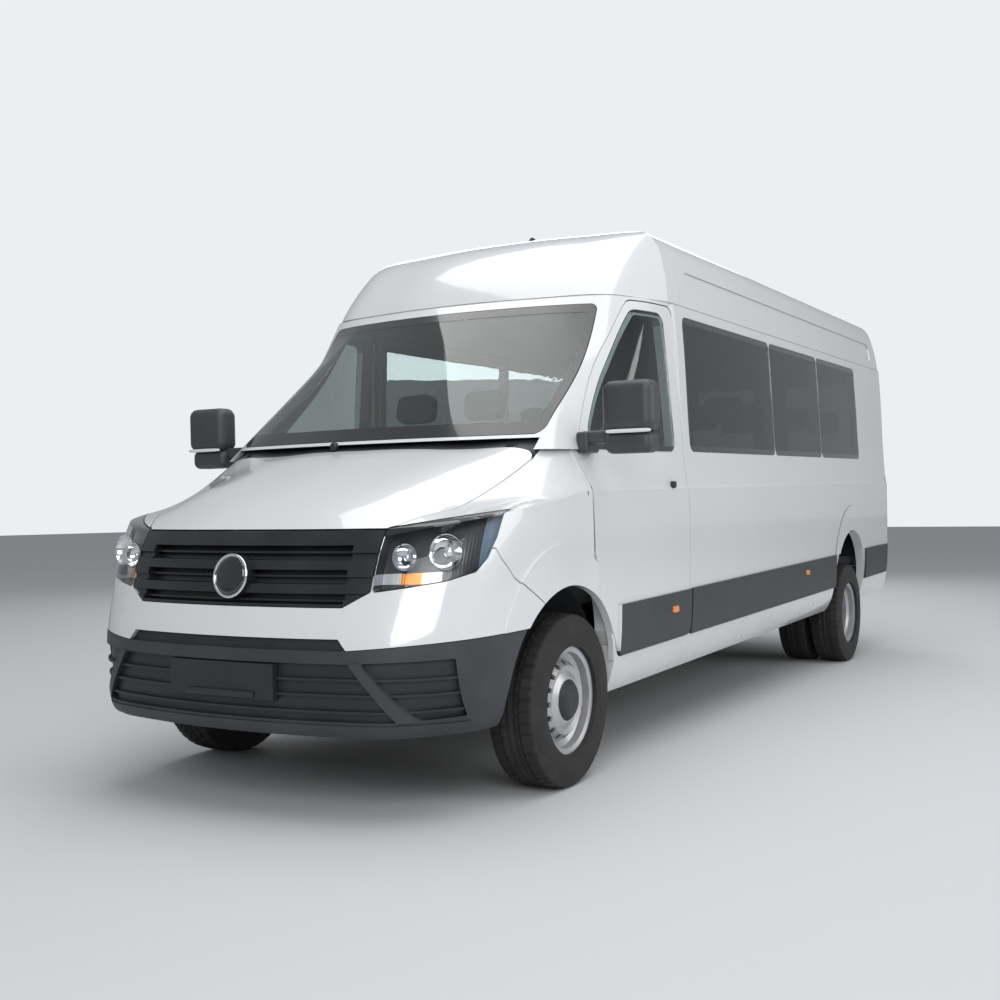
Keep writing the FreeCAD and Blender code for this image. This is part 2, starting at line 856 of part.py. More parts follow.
def zone(left, low=-200, high=640):
    """The outline [(x, z), ...] of the left half and its mirror image, drawn along the vehicle."""
    return front_prism(left + [(-x, z) for x, z in reversed(left)], 6, low, high)


strut_foot, strut_head = (721, intake_base), (554, intake_top)
middle_intake = zone([strut_foot, strut_head])
corner_intake = front_prism(
    [
        (strut_head[0] + strut_width, intake_top + 3),
        (883, intake_top + 12),
        (889, intake_base + 5),
        (strut_foot[0] + 1.4 * strut_width, intake_base + 3),
    ],
    8,
    -200,
    640,
)
top_slot = zone([(slot_half + 30, slot_base + 1), (slot_half + 6, slot_top + 30)])
strut = front_prism(
    [
        (strut_head[0], intake_top + 2),
        (strut_head[0] + strut_width, intake_top + 4),
        (strut_foot[0] + 1.4 * strut_width, intake_base - 2),
        (strut_foot[0], intake_base - 2),
    ],
    5,
    -200,
    640,
)
bottom = size("bumper_bottom")
lip = zone([(860, bottom + 6), (905, bottom + 40), (800, intake_base - 12)])
intakes = middle_intake.fuse([both(corner_intake), top_slot])
bumper_reach = block((-1200, 1200), (-100, bumper_end), (0, 800))
dark_layer = nose_shell.common(dark_prism(0)).common(bumper_reach)
closing = nose_layer(recess, recess + backing).common(dark_prism(0)).common(intakes)
slat_heights = [intake_base + share * (intake_top - intake_base) for share in (0.19, 0.48, 0.75)]
slat_zones = [block((-884, 884), (-100, 640), (z - slat_depth, z)) for z in slat_heights]
slats = nose_layer(slat_set, recess + 1).common(Part.makeCompound(slat_zones)).common(intakes)
raised_dark = nose_layer(-7, 2).common(both(strut).fuse(lip)).common(bumper_reach)
plate_half, plate_low, plate_high = 256, 474, 606
plate_panel = block((-plate_half, plate_half), (-2, 60), (plate_low, plate_high))
plate_panel = plate_panel.cut(nose_solid(slat_set + slat_depth))
dark = dark_layer.cut(intakes).fuse(raised_dark).cut(front_arch_cut)
bumper_lower = piece("bumper_lower", biggest(dark))
insert = closing.fuse(slats).fuse(plate_panel).cut(front_arch_cut)
bumper_insert = piece("bumper_insert", chunks(insert, 2.0e4))

# Grille: a frame with faceted ends, three broad slats and thin bars before a closed backing

grille_zone = grille_prism(0)
grille_base, grille_top = size("grille_base"), size("grille_top")
grille_half = size("grille_base_half")
grille_depth = 46
bar_set = 22
slat_bands = [(1034, grille_top + 4), (946, 980), (860, 894)]
bar_bands = [(1004, 1012), (918, 926), (830, 838)]
end_levels = [grille_base + 26, 898, 984]


def between(outer, inner, shape):
    """The part of a shape that lies between two depths under the nose surface."""
    return nose_layer(outer, inner).common(shape)


frame_edges = grille_zone.cut(
    front_prism(
        [
            (-grille_half, grille_base + 10),
            (grille_half, grille_base + 10),
            (grille_half, grille_top - 2),
            (-grille_half, grille_top - 2),
        ],
        3,
        -200,
        420,
    )
)
slat_zones = [block((-600, 600), (0, 420), band) for band in slat_bands]
proud_part = between(0, grille_depth + 1, Part.makeCompound(slat_zones))
bar_zones = [block((-560, 560), (0, 420), band) for band in bar_bands]
bar_part = between(bar_set, grille_depth + 1, Part.makeCompound(bar_zones))
rim_part = between(0, grille_depth + 1, frame_edges)
end_zones = [block((grille_half, 640), (0, 420), (low, low + 22)) for low in end_levels]
end_cuts = between(-1, 9, both(Part.makeCompound(end_zones)))
back_plate = between(grille_depth - 2, grille_depth + 4, grille_zone)
boss_y, boss_z = 66, 922
boss = Part.makeCylinder(86, 60, Vector(0, boss_y, boss_z), Vector(0, 1, -0.18))
grille_face = rim_part.cut(end_cuts).fuse(proud_part)
grille_solid = grille_face.fuse(back_plate.fuse(bar_part))
grille_solid = grille_solid.common(grille_zone).common(under_top(0)).fuse(boss)
grille = piece("grille", biggest(grille_solid))

# Headlamps: closed lamp bodies behind the nose surface

lamp_depth = 130
lamp_solid = nose_outer.cut(nose_solid(lamp_depth).common(under_top(60)))
lamp_left = biggest(lamp_solid.common(lamp_prism(0)).cut(grille_prism(3)))
headlights = piece("headlights", Part.makeCompound([lamp_left, mirrored(lamp_left)]))

# Wings, with the wheel opening cut and a raised lip round it

door_hinge_x, door_hinge_y = half_width - 22, door_front - 38
door_hinge_heights = [975, 1180]
door_swing = 44.5
door_pin = 6
hinge_length = 50


def door_hinge(z):
    """A pin on the door with a gooseneck that passes inside the wing's rear edge."""
    low = z - hinge_length / 2
    pin = Part.makeCylinder(door_pin, hinge_length, Vector(door_hinge_x, door_hinge_y, low))
    levels = (low, low + hinge_length)
    arm = block((door_hinge_x - 54, door_hinge_x), (door_hinge_y - 3, door_hinge_y + 3), levels)
    neck = block(
        (door_hinge_x - 54, door_hinge_x - 41), (door_hinge_y - 3, door_hinge_y + 84), levels
    )
    return pin.fuse([arm, neck])


def hinge_pocket(z):
    """The room round a hinge pin in the back of the wing."""
    height = hinge_length + 2 * gap
    start = Vector(door_hinge_x, door_hinge_y, z - height / 2)
    room = block(
        (door_hinge_x - 30, door_hinge_x + 4),
        (door_hinge_y - 14, door_front),
        (start.z, start.z + height),
    )
    return Part.makeCylinder(door_pin + 8, height, start).fuse(room)


wing_rear = front_arch_y + arch_radius
rear_flange = side_layer(0, skin, (nose_rear - 80, wing_rear), (470, 900))
raised_flange = side_layer(-flare, skin, (nose_rear - 30, wing_rear), (470, 1000))
door_zone = door_prism(gap).cut(front_flare_drum(0))
wing = nose_shell.common(block((560, 1200), (0, nose_rear), (sill, 1500)))
wing = wing.cut(block((560, 1200), (door_front - gap, nose_rear), (900, 1500)))
wing = wing.fuse([rear_flange, front_flare, raised_flange.common(front_flare_drum(0))])
wing = wing.cut([bumper_side(4), dark_prism(4), lamp_prism(4), bonnet_prism(gap), door_zone])
half, rear, bow = size("bonnet_rear_half"), size("bonnet_rear_y"), size("bonnet_bow")
cowl_plan = [(0, rear - bow), (0.5 * half, rear - 0.78 * bow), (half, rear), (half, 1300), (0, 1300)]
wing = wing.cut([plan_prism(cowl_plan, 5, 1250, 2000), block((0, half), (rear - 26, 1300), (1250, 2000))])
wing = wing.cut([front_arch_cut] + [hinge_pocket(z) for z in door_hinge_heights])
wing_left = biggest(wing)
fenders = piece("fenders", Part.makeCompound([wing_left, mirrored(wing_left)]))

# Bonnet: a crowned pressing with its edges turned down

bonnet_solid = nose_shell.common(bonnet_prism(0))
bonnet_solid = bonnet_solid.cut(
    block((-1200, 1200), (-100, 300), (0, size("grille_top") + 4 + gap))
)
bonnet_solid = biggest(bonnet_solid.cut([lamp_prism(gap), mirrored(lamp_prism(gap))]))
bonnet_axis_y, bonnet_axis_z = size("bonnet_rear_y") + 12, 1420
bonnet_knuckle = 7
hinge_span = (700, 732)
strap_top = bonnet_axis_z - 1
strap_front = bonnet_axis_y - 24


def bonnet_strap():
    """A hinge strap from the barrel down to the bonnet's rear edge."""
    low, high = hinge_span
    start = Vector(low, bonnet_axis_y, bonnet_axis_z)
    barrel = Part.makeCylinder(bonnet_knuckle, high - low, start, Vector(1, 0, 0))
    under = bonnet_axis_z - bonnet_knuckle
    strap = block((low, high), (strap_front, bonnet_axis_y), (under, strap_top))
    foot = block((low, high), (strap_front, bonnet_axis_y - 13), (1378, strap_top))
    return barrel.fuse([strap, foot])


bonnet = piece("bonnet", biggest(bonnet_solid.fuse(both(bonnet_strap())).removeSplitter()))

# Scuttle: the dark panel between bonnet and windscreen, on which the wipers turn, with a seat
# for each hinge barrel

scuttle_half = size("bonnet_rear_half") - 4
scuttle_zone = block((-scuttle_half, scuttle_half), (840, screen_base_y + 26), (1200, 1600))
scuttle_solid = nose_shell.common(scuttle_zone).cut(bonnet_prism(gap))
seat_gap = 0.3
liner_radius = arch_radius + 18
liner_thick = 5
liner_clear = drum(
    front_arch_y, front_arch_rise, liner_radius + liner_thick + seat_gap, 555, 1150
)
low, high = hinge_span
hinge_seat = block(
    (low - 8, high + 8),
    (bonnet_axis_y + 2, bonnet_axis_y + 24),
    (1376, bonnet_axis_z - bonnet_knuckle - seat_gap),
)
cheek = block(
    (high + seat_gap, high + 8),
    (bonnet_axis_y - 5, bonnet_axis_y + 24),
    (1398, bonnet_axis_z + 5),
)
scuttle_solid = biggest(scuttle_solid).fuse([both(hinge_seat), both(cheek)])
strap_room = block((low - 1, high + seat_gap), (900, bonnet_axis_y + 1.5), (1370, 1500))
scuttle = piece("scuttle", biggest(scuttle_solid.cut(both(strap_room))))

# Cab frame: windscreen pillars, header, side frames, sills and the bulkhead behind the engine


def screen_prism(margin):
    base, top = screen_base_z + margin, screen_top_z - margin
    low_half = size("screen_base_half") - margin
    top_half = size("screen_top_half") - margin
    points = [(-low_half, base), (low_half, base), (top_half, top), (-top_half, top)]
    return front_prism(points, 40, 700, 1900)


cab_shell = cab_outer.cut(cab_space)
frame = cab_shell.common(block((-1200, 1200), (0, pillar_y), (sill, gutter)))
frame = frame.cut([both(door_prism(gap)), both(front_arch_cut)])
frame = frame.cut(block((-1200, 1200), (0, door_front - gap), (0, shoulder_top)))
frame = frame.cut(under_top(-4).common(block((-1200, 1200), (0, 1154), (0, 2000))))
screen_rim = size("screen_base_z") - 17
frame = frame.cut(block((-825, 825), (0, 1154), (0, screen_rim)))
frame = frame.cut(block((-1200, 1200), (0, door_front + 90), (0, 1230)))
frame = frame.cut([screen_prism(seat_lap), cab_seat_layer.common(screen_prism(-3))])
arch_zone = block((-1200, 1200), (0, front_arch_y + arch_radius + 6), (0, 900))
frame = frame.cut(arch_zone)
floor_top = size("floor_height")
floor_low = floor_top - size("floor_thick")
bulkhead_foot = floor_low + seat_gap
bulkhead_points = [
    (1118, bulkhead_foot),
    (1000, 900),
    (1000, 1322),
    (1112, 1346),
    (1112, screen_rim + 24),
    (1090, screen_rim + 24),
    (1090, 1368),
    (965, 1338),
    (965, 880),
    (1083, bulkhead_foot),
]
bulkhead = side_prism(bulkhead_points, 10, -790, 790)
bulkhead = bulkhead.cut(both(liner_clear))
cowl_zone = block((-790, 790), (880, 1111), (screen_rim + 4, screen_rim + 24))
cowl = cab_solid(16).common(cowl_zone).cut(under_top(-1))
cab_frame = piece("cab_frame", chunks(frame.fuse([bulkhead, cowl]), 5.0e5))

windscreen = piece("windscreen", biggest(cab_glass_layer.common(screen_prism(0))))

# Front doors: shells as thick as the real doors, with the window cut and the strip on their skin


def strip_layer(low, high):
    """The dark strip that stands proud of the side between two Y limits."""
    reach = high - low
    outer = section_face(low, -size("strip_proud"), 0, sill).extrude(Vector(0, reach, 0))
    inner = section_face(low, 0, 0, sill).extrude(Vector(0, reach, 0))
    zone = block((800, 1200), (low, high), (size("strip_bottom"), size("strip_top")))
    return outer.common(zone).cut(inner)


swing_room = Part.makeCylinder(door_swing, 520, Vector(door_hinge_x, door_hinge_y, 890))
inner_clear = front_flare_drum(20).common(block((0, door_hinge_x + 8), (0, 1500), (0, 1200)))
door_solid = cab_shell.common(door_prism(0)).cut([front_flare_drum(10), inner_clear, swing_room])
door_solid = door_solid.cut([door_window(seat_lap), cab_seat_layer.common(door_window(-3))])
step_back = 9
door_solid = door_solid.cut(
    [
        block((0, half_width - 42), (door_rear - step_back, door_rear + 1), (0, belt)),
        block((0, half_width - 88), (door_rear - step_back, door_rear + 1), (belt, gutter)),
    ]
)
door_solid = biggest(door_solid)
door_strip = strip_layer(front_arch_y + arch_radius + 20, door_rear).common(door_prism(0))
door_left = door_solid.fuse([door_strip.cut(front_flare_drum(10))] + [door_hinge(z) for z in door_hinge_heights])
front_door_left = piece("front_door_left", biggest(door_left))
front_door_right = piece("front_door_right", mirrored(biggest(door_left)))
door_pane = biggest(cab_glass_layer.common(door_window(0)))
front_door_glass_left = piece("front_door_glass_left", door_pane)
front_door_glass_right = piece("front_door_glass_right", mirrored(door_pane))

# Mirrors: a tall upper housing over a small wide-angle one, on a foot at the door's corner

mirror_centre = Vector(1168, 1215, 1520)


def rounded_box(centre, across, along, up, radius):
    corner = centre - Vector(across / 2, along / 2, up / 2)
    box = Part.makeBox(across, along, up, corner)
    return box.makeFillet(radius, box.Edges)


def mirror_solid(side):
    """Both housings, their arm and the foot on the door's corner; side is 1 left, -1 right."""
    x, y, z = mirror_centre
    upper_housing = rounded_box(Vector(side * x, y, z + 42), 232, 128, 216, 42)
    lower_housing = rounded_box(Vector(side * (x - 4), y + 8, z - 108), 214, 112, 92, 32)
    arm = rounded_box(Vector(side * 1020, 1235, 1440), 190, 70, 56, 20)
    foot = rounded_box(Vector(side * 945, 1250, 1420), 60, 120, 90, 14)
    return biggest(upper_housing.fuse([lower_housing, arm, foot]).cut(cab_outer))


mirror_left = piece("mirror_left", mirror_solid(1))
mirror_right = piece("mirror_right", mirror_solid(-1))

# Side panels from the door pillar to the rear corner, with windows, wheel opening and tail opening

rear_half = size("rear_door_half")
tail_zone = block(
    (-rear_half - gap, rear_half + gap),
    (length - rear_wall - 70, length + 100),
    (0, size("rear_door_top") + gap),
)
panel = rear_shell.common(block((0, 1200), (pillar_y, length + 10), (sill, gutter)))
panel = panel.cut(tail_zone)
panel = panel.cut(window_band(seat_lap) + [rear_seat_layer.common(item) for item in window_band(-3)])
rear_flare = side_layer(-flare, 0.5 * side_wall, (rear_arch_y - 520, rear_arch_y + 520), (size("strip_top") + 3, belt))
rear_flare = rear_flare.common(drum(*rear_flare_at, flare_radius + 10, 700, 1150))
panel = panel.fuse(rear_flare).cut(rear_arch_cut)
tail_lamp_zone = block((900, 1200), (length - 175, length + 20), (852, 1262))
lamp_layer = rear_body.cut(
    section_face(pillar_y, 34, 0, sill).extrude(Vector(0, rear_run + 50, 0)).common(rear_plan(34))
)
tail_lamp = lamp_layer.common(tail_lamp_zone)
panel = panel.cut(tail_lamp)
panel_left = biggest(panel)
side_panel_left = piece("side_panel_left", panel_left)

sliding_points = [
    (size("sliding_front"), size("sliding_bottom")),
    (size("sliding_rear"), size("sliding_bottom")),
    (size("sliding_rear"), door_top),
    (size("sliding_front"), door_top),
]


def sliding_prism(grow):
    (front, bottom), (rear, _), (_, top), _ = sliding_points
    front, rear, bottom, top = front - grow, rear + grow, bottom - grow, top + grow
    points = [(front, bottom), (rear, bottom), (rear, top), (front, top)]
    return side_prism(points, 60, -1150, -560)


panel_right = mirrored(panel_left)
sliding_solid = biggest(panel_right.common(sliding_prism(0)))
side_panel_right = piece("side_panel_right", chunks(panel_right.cut(sliding_prism(gap)), 1.0e5))
sliding_door = piece("sliding_door", sliding_solid)
panes = [rear_glass_layer.common(item) for item in window_band(0)]
left_panes = [biggest(pane) for pane in panes]
right_panes = [mirrored(pane) for pane in left_panes]
side_windows = piece("side_windows", Part.makeCompound(left_panes + right_panes))
tail_lamps = piece(
    "tail_lamps", Part.makeCompound([biggest(tail_lamp), mirrored(biggest(tail_lamp))])
)

# Roof: the high cap in one shell, closed over the rear doors

join_y = 3600
roof_seam_y = 2372
recess_front, recess_rear = 2480, length - 260


def roof_solid(depth, front, rear_depth):
    face = section_face(1400, side_wall if depth else 0, depth, sill)
    front_part = face.extrude(Vector(0, join_y - 1400, 0)).common(cap_solid(front))
    face = section_face(join_y, side_wall if depth else 0, depth, sill)
    rear_part = face.extrude(Vector(0, length - join_y + 40, 0)).common(rear_plan(rear_depth))
    return front_part.fuse(rear_part)


roof_shell = roof_solid(0, 0, 0).cut(roof_solid(roof_wall, 1.2 * roof_wall, rear_wall))
roof_shell = roof_shell.common(block((-1200, 1200), (1000, length + 50), (gutter, 3000)))
groove = 5
groove_width = 7
side_recess = side_prism(
    [(recess_front, gutter + 70), (recess_rear, gutter + 70), (recess_rear, gutter + 205),
     (recess_front + 60, gutter + 205)], 40, -1200, 1200,
)
seams = [
    block((-1200, 1200), (roof_seam_y, roof_seam_y + groove_width), (gutter, 3000)),
    block((-1200, 1200), (1000, length), (gutter, gutter + groove_width)),
]
grooves = side_recess.fuse(seams).cut(roof_solid(groove, groove, groove))
roof_shell = roof_shell.cut(grooves)
roof_shell = roof_shell.cut([tail_zone, both(door_prism(gap))])
roof = piece("roof", biggest(roof_shell.removeSplitter()))

# Rear doors, hinged on the corners, with their windows

hinge_y = length + 20
hinge_x = rear_half + 12
hinge_radius = 11
leaf_height = 70
hinge_heights = [760, 1320, 2080]
rear_door_zone = block(
    (size("rear_door_gap") / 2, rear_half), (length - 400, length + 50), (size("rear_door_bottom"), size("rear_door_top"))
)
rear_leaf = rear_body.cut(rear_plan(rear_wall)).common(rear_door_zone)
rear_window_points = [(118, glass_base), (742, glass_base), (722, glass_top), (118, glass_top)]


def rear_window(margin):
    (left, base), (right, _), (top_right, top), _ = rear_window_points
    left, right, top_right = left + margin, right - margin, top_right - margin
    points = [(left, base + margin), (right, base + margin), (top_right, top - margin)]
    points.append((left, top - margin))
    return front_prism(points, max(60 - margin, 15), length - 300, length + 60)


rear_pane = biggest(rear_glass_layer.common(rear_window(0)))
rear_leaf = rear_leaf.cut([rear_window(seat_lap), rear_seat_layer.common(rear_window(-3))])
rear_leaf = biggest(rear_leaf)
barrels = []
straps = []
for height in hinge_heights:
    middle = Part.makeCylinder(hinge_radius, 28, Vector(hinge_x, hinge_y, height - 14))
    strap = block((hinge_x - 150, hinge_x), (hinge_y - 8, hinge_y + 3), (height - 14, height + 14))
    tab = block((hinge_x - 150, hinge_x - 60), (length - 60, hinge_y), (height - 14, height + 14))
    straps += [middle, strap, tab]
rear_leaf = rear_leaf.fuse(straps).removeSplitter()
rear_door_left = piece("rear_door_left", biggest(rear_leaf))
rear_door_right = piece("rear_door_right", mirrored(biggest(rear_leaf)))
rear_door_glass_left = piece("rear_door_glass_left", rear_pane)
rear_door_glass_right = piece("rear_door_glass_right", mirrored(rear_pane))

# Rear bumper with its step

bumper_face = rear_plan(-22).cut(rear_plan(90))
rear_bumper_solid = bumper_face.common(
    block(
        (2 - rear_half, rear_half - 2),
        (length - 300, length + 60),
        (sill + 22, size("rear_door_bottom") - gap),
    )
)
tow_window = Part.makeCylinder(40, 400, Vector(340, length - 300, 430), Vector(0, 1, 0))
rear_bumper = piece("rear_bumper", biggest(rear_bumper_solid.cut(tow_window)))

# Dark side strips behind the doors and on the rear corners

strip_front = strip_layer(pillar_y + 2, rear_arch_y - arch_radius - 8)
strip_rear = strip_layer(rear_arch_y + arch_radius + 8, length - 190)
strips_left = Part.makeCompound([strip_front, strip_rear])
side_strips = piece(
    "side_strips",
    Part.makeCompound(
        [strip_front, strip_rear, mirrored(strip_front), mirrored(strip_rear)]
    ),
)

# Wheel housings: thin liners over the front wheels, between wing, floor and bulkhead

liner_span = (560, 885)
ring = drum(front_arch_y, front_arch_rise, liner_radius + liner_thick, liner_span[0], 985)
ring = ring.cut(drum(front_arch_y, front_arch_rise, liner_radius, 500, 1000))
inner_part = block(liner_span, (560, 2000), (front_arch_rise + 60, 1000))
outer_part = block((liner_span[1] - 1, 985), (560, door_front - 20), (front_arch_rise + 60, 1000))
housing = ring.common(inner_part.fuse(outer_part.common(nose_solid(skin + 2))))
wheel_liners = piece("wheel_liners", Part.makeCompound([housing, mirrored(housing)]))

# Floor: one pan with steps at the doors and boxes over the rear wheels

floor_half = half_width - side_wall - 6
pan = block((-floor_half, floor_half), (1150, length - rear_wall), (floor_low, floor_top))
rear_room = section_face(pillar_y + 4, side_wall + 1, roof_wall, sill - 20)
rear_room = rear_room.extrude(Vector(0, rear_run, 0)).common(rear_plan(rear_wall + gap))
floor_room = rear_room.fuse(lower_cab(door_wall + gap).common(block((-1200, 1200), (0, pillar_y + 4), (0, 2000))))
box_inner = size("twin_outer") - size("twin_spacing") - size("tyre_width") / 2 - 60
house_top = 905
house = block(
    (box_inner - 18, floor_half - 4),
    (rear_arch_y - arch_radius - 40, rear_arch_y + arch_radius + 40),
    (floor_low, house_top),
)
house_space = block(
    (box_inner, floor_half + 40),
    (rear_arch_y - arch_radius - 22, rear_arch_y + arch_radius + 22),
    (0, house_top - 18),
)
pan = pan.fuse(both(house)).cut(both(house_space))
step_well = block((-1000, -560), (2400, 3150), (0, 3000))
door_wells = both(block((730, 1000), (1300, 2190), (0, 3000)))
pan = pan.cut([step_well, door_wells])
step_tread = block((-floor_half, -560), (2380, 3170), (430, 455))
step_front = block((-floor_half, -560), (2380, 2400), (430, floor_top))
step_rear = block((-floor_half, -560), (3150, 3170), (430, floor_top))
step_side = block((-560, -545), (2380, 3170), (430, floor_top))
cab_step = block((700, floor_half - 60), (1440, 2190), (430, 455))
cab_riser = block((700, 730), (1440, 2190), (430, floor_top))
pan = pan.fuse([step_tread, step_front, step_rear, step_side, both(cab_step.fuse(cab_riser))])
pan = pan.common(floor_room).cut(both(liner_clear))
floor_pan = piece("floor_pan", biggest(pan.removeSplitter()))

# Chassis: two rails kicked up over the rear axle, with cross-members

rail_half, rail_width, rail_height = size("rail_half"), size("rail_width"), size("rail_height")
rail_top = floor_low
rail_front = 320
rail = block(
    (rail_half - rail_width / 2, rail_half + rail_width / 2),
    (rail_front, length - 160),
    (rail_top - rail_height, rail_top),
)
rear_centre = in_body(Vector(0, front_axle + size("wheelbase"), size("tyre_radius")))
spring_reach = 700
spring_eye = 18
spring_half = 32
eye_z = rear_centre.z + 78
hangers = [
    block(
        (rail_half - spring_half, rail_half + spring_half),
        (rear_centre.y + s * spring_reach - 26, rear_centre.y + s * spring_reach + 26),
        (eye_z + spring_eye + 0.3, rail_top - rail_height + 1),
    )
    for s in (-1, 1)
]
cross = [
    block((-rail_half, rail_half), (y, y + 70), (rail_top - 100, rail_top - 20))
    for y in (320, 1700, 2900, 4100)
]
tow_radius = size("tow_bore") / 2
tow_at = Vector(340, length - 160, 430)
tow_end = length - 14
tow_tube = Part.makeCylinder(tow_radius + 10, tow_end - 6600, Vector(tow_at.x, 6600, tow_at.z), Vector(0, 1, 0))
tow_hanger = block((tow_at.x - 20, tow_at.x + 20), (6600, 6660), (tow_at.z, rail_top - 90))
cross.append(block((-rail_half, rail_half), (6590, 6676), (rail_top - 100, rail_top - 20)))
chassis = both(rail.fuse(hangers)).fuse(cross + [tow_tube, tow_hanger]).removeSplitter()
tow_hole = Part.makeCylinder(
    tow_radius, size("tow_depth") + 20, Vector(tow_at.x, tow_end - size("tow_depth"), tow_at.z),
    Vector(0, 1, 0),
)
chassis = chassis.cut(tow_hole)
chassis_rails = piece("chassis_rails", biggest(chassis))

# Engine and gearbox as one plain block, and the radiator behind the grille

rail_inner = rail_half - rail_width / 2
engine_solid = block((-250, 250), (400, 930), (430, 1010))
gearbox = block((-150, 150), (930, 1540), (380, 600))
engine_mount = both(block((240, rail_inner), (620, 700), (rail_top - 100, rail_top - 30)))
radiator_half = 372
radiator_y = (250, 306)
radiator = piece("radiator", block((-radiator_half, radiator_half), radiator_y, (470, 990)))

# Front carrier: a bumper beam on the rails' ends, uprights beside the radiator, and the shelves
# on which bumper, grille and headlamps are fixed

carrier_depth = (230, 312)
behind_skin = nose_solid(skin + seat_gap).common(under_top(skin + seat_gap))
beam_ring = behind_skin.cut(nose_solid(skin + 60))
bumper_beam = beam_ring.common(block((-620, 620), (-50, 300), (568, 640)))
cans = both(block((rail_inner, rail_half + rail_width / 2), (90, rail_front), (570, 638)))
cans = cans.common(behind_skin)
uprights = both(block((radiator_half, radiator_half + 40), carrier_depth, (568, 1046)))
lock_beam = block((-lamp_inner + seat_gap, lamp_inner - seat_gap), carrier_depth, (1004, 1046))
top_shelf = block((-500, 500), (60, 240), (1016, 1034)).common(behind_skin)
low_shelf = block((-460, 460), (0, 240), (722, 740)).common(behind_skin)
carrier = bumper_beam.fuse([cans, uprights, lock_beam, top_shelf, low_shelf])
front_carrier = piece(
    "front_carrier",
    biggest(carrier.cut(between(-1, grille_depth + 4 + seat_gap, grille_prism(1))).removeSplitter()),
)

# Front subframe: cross-member and lower arms

tyre_radius, tyre_width = size("tyre_radius"), size("tyre_width")
kingpin_half = size("kingpin_half")
arm_height = 235
beam = block((-440, 440), (front_axle - 90, front_axle + 110), (250, 330))
arm_tip = kingpin_half - 32
towers = both(
    block((385, 440), (front_axle - 60, front_axle + 60), (330, rail_top - rail_height))
)
arm_points = [
    Vector(330, front_axle - 150, arm_height),
    Vector(arm_tip, front_axle - 26, arm_height),
    Vector(arm_tip, front_axle + 26, arm_height),
    Vector(330, front_axle + 190, arm_height),
]
lower_arm = Part.Face(polygon(arm_points)).extrude(Vector(0, 0, 36))
front_subframe = piece("front_subframe", beam.fuse([towers, both(lower_arm)]).removeSplitter())

# Wheels: pressed steel rims with a ring of round holes

rim_radius, rim_width, bead = size("rim_radius"), size("rim_width"), size("bead_radius")
sheet_metal = 6


def rim_profile(disc):
    """The rim's barrel (along the axle from the outer flange, radius)."""
    w, r, b = rim_width, rim_radius, bead
    outer = [(0, r), (9, r), (12, b), (44, b), (58, b - 22), (100, b - 22), (116, b)]
    outer += [(w - 12, b), (w - 9, r), (w, r)]
    inner = [(w, r - 7), (w - 5, b - 6), (120, b - 6), (104, b - 28), (54, b - 28)]
    inner += [(40, b - 6), (6, b - 6), (0, r - 7)]
    return outer + inner


def turned(points, at, outward=1):
    """An outline of (along the axle, radius) turned about the X axis through a point."""
    wire = polygon([Vector(at.x - outward * a, at.y, at.z + r) for a, r in points])
    return Part.Face(wire).revolve(at, Vector(1, 0, 0), 360)


hub_radius = size("hub_radius")
disc_face = 4


def disc_profile(face):
    """The wheel disc, from the hub face out to the barrel's well."""
    return [
        (face, 34),
        (face, 92),
        (face + 14, 118),
        (face + 6, 142),
        (face + 26, 160),
        (56, bead - 27),
        (64, bead - 27),
        (face + 36, 156),
        (face + 16, 138),
        (face + 24, 112),
        (face + 10, 90),
        (face + 10, 34),
    ]


hole_count = 16
hole_circle = 151
hole_radius = 11.5


def rim(at, outward, face):
    barrel = turned(rim_profile(face), at, outward)
    disc = turned(disc_profile(face), at, outward)
    holes = []
    for i in range(hole_count):
        angle = 2 * math.pi * i / hole_count
        place = at + Vector(-outward * 70, hole_circle * math.cos(angle), hole_circle * math.sin(angle))
        holes.append(Part.makeCylinder(hole_radius, 140, place, Vector(outward, 0, 0)))
    return barrel.fuse(disc.cut(holes))


def tyre(at):
    """A closed ring: tread, shoulders, rounded walls and beads, turned about the axle."""
    w, r, b = tyre_width / 2, tyre_radius, bead + 0.4
    seat = rim_width / 2 - 13
    x, y, z = at.x, at.y, at.z
    tread = 0.8 * w
    wall = b + 0.45 * (r - b)
    left_bead, left_wall, left_tread = (x + seat, z + b), (x + w, z + wall), (x + tread, z + r - 6)

    def vec(across, up):
        return Vector(across, y, up)

    edges = [
        Part.Arc(vec(x - tread, z + r - 6), vec(x, z + r), vec(x + tread, z + r - 6)).toShape(),
        Part.Arc(vec(x + tread, z + r - 6), vec(x + 0.95 * w, z + r - 26), vec(*left_wall)).toShape(),
        Part.Arc(vec(*left_wall), vec(x + 0.95 * w, z + b + 34), vec(x + seat, z + b + 20)).toShape(),
        Part.makeLine(vec(x + seat, z + b + 20), vec(*left_bead)),
        Part.makeLine(vec(*left_bead), vec(x - seat, z + b)),
        Part.makeLine(vec(x - seat, z + b), vec(x - seat, z + b + 20)),
        Part.Arc(vec(x - seat, z + b + 20), vec(x - 0.95 * w, z + b + 34), vec(x - w, z + wall)).toShape(),
        Part.Arc(vec(x - w, z + wall), vec(x - 0.95 * w, z + r - 26), vec(x - tread, z + r - 6)).toShape(),
    ]
    return Part.Face(Part.Wire(edges)).revolve(at, Vector(1, 0, 0), 360)


front_half_track = size("front_track") / 2
wheel_y = front_axle
rear_y = front_axle + size("wheelbase")
spindle_radius = 28


def hub_cover(at, outward, face, dome):
    points = [(face - 22, 0), (face - 22, 40), (face - 16, 66), (face - 1, 84), (face, 84), (face, 0)]
    return turned(points, at, outward)


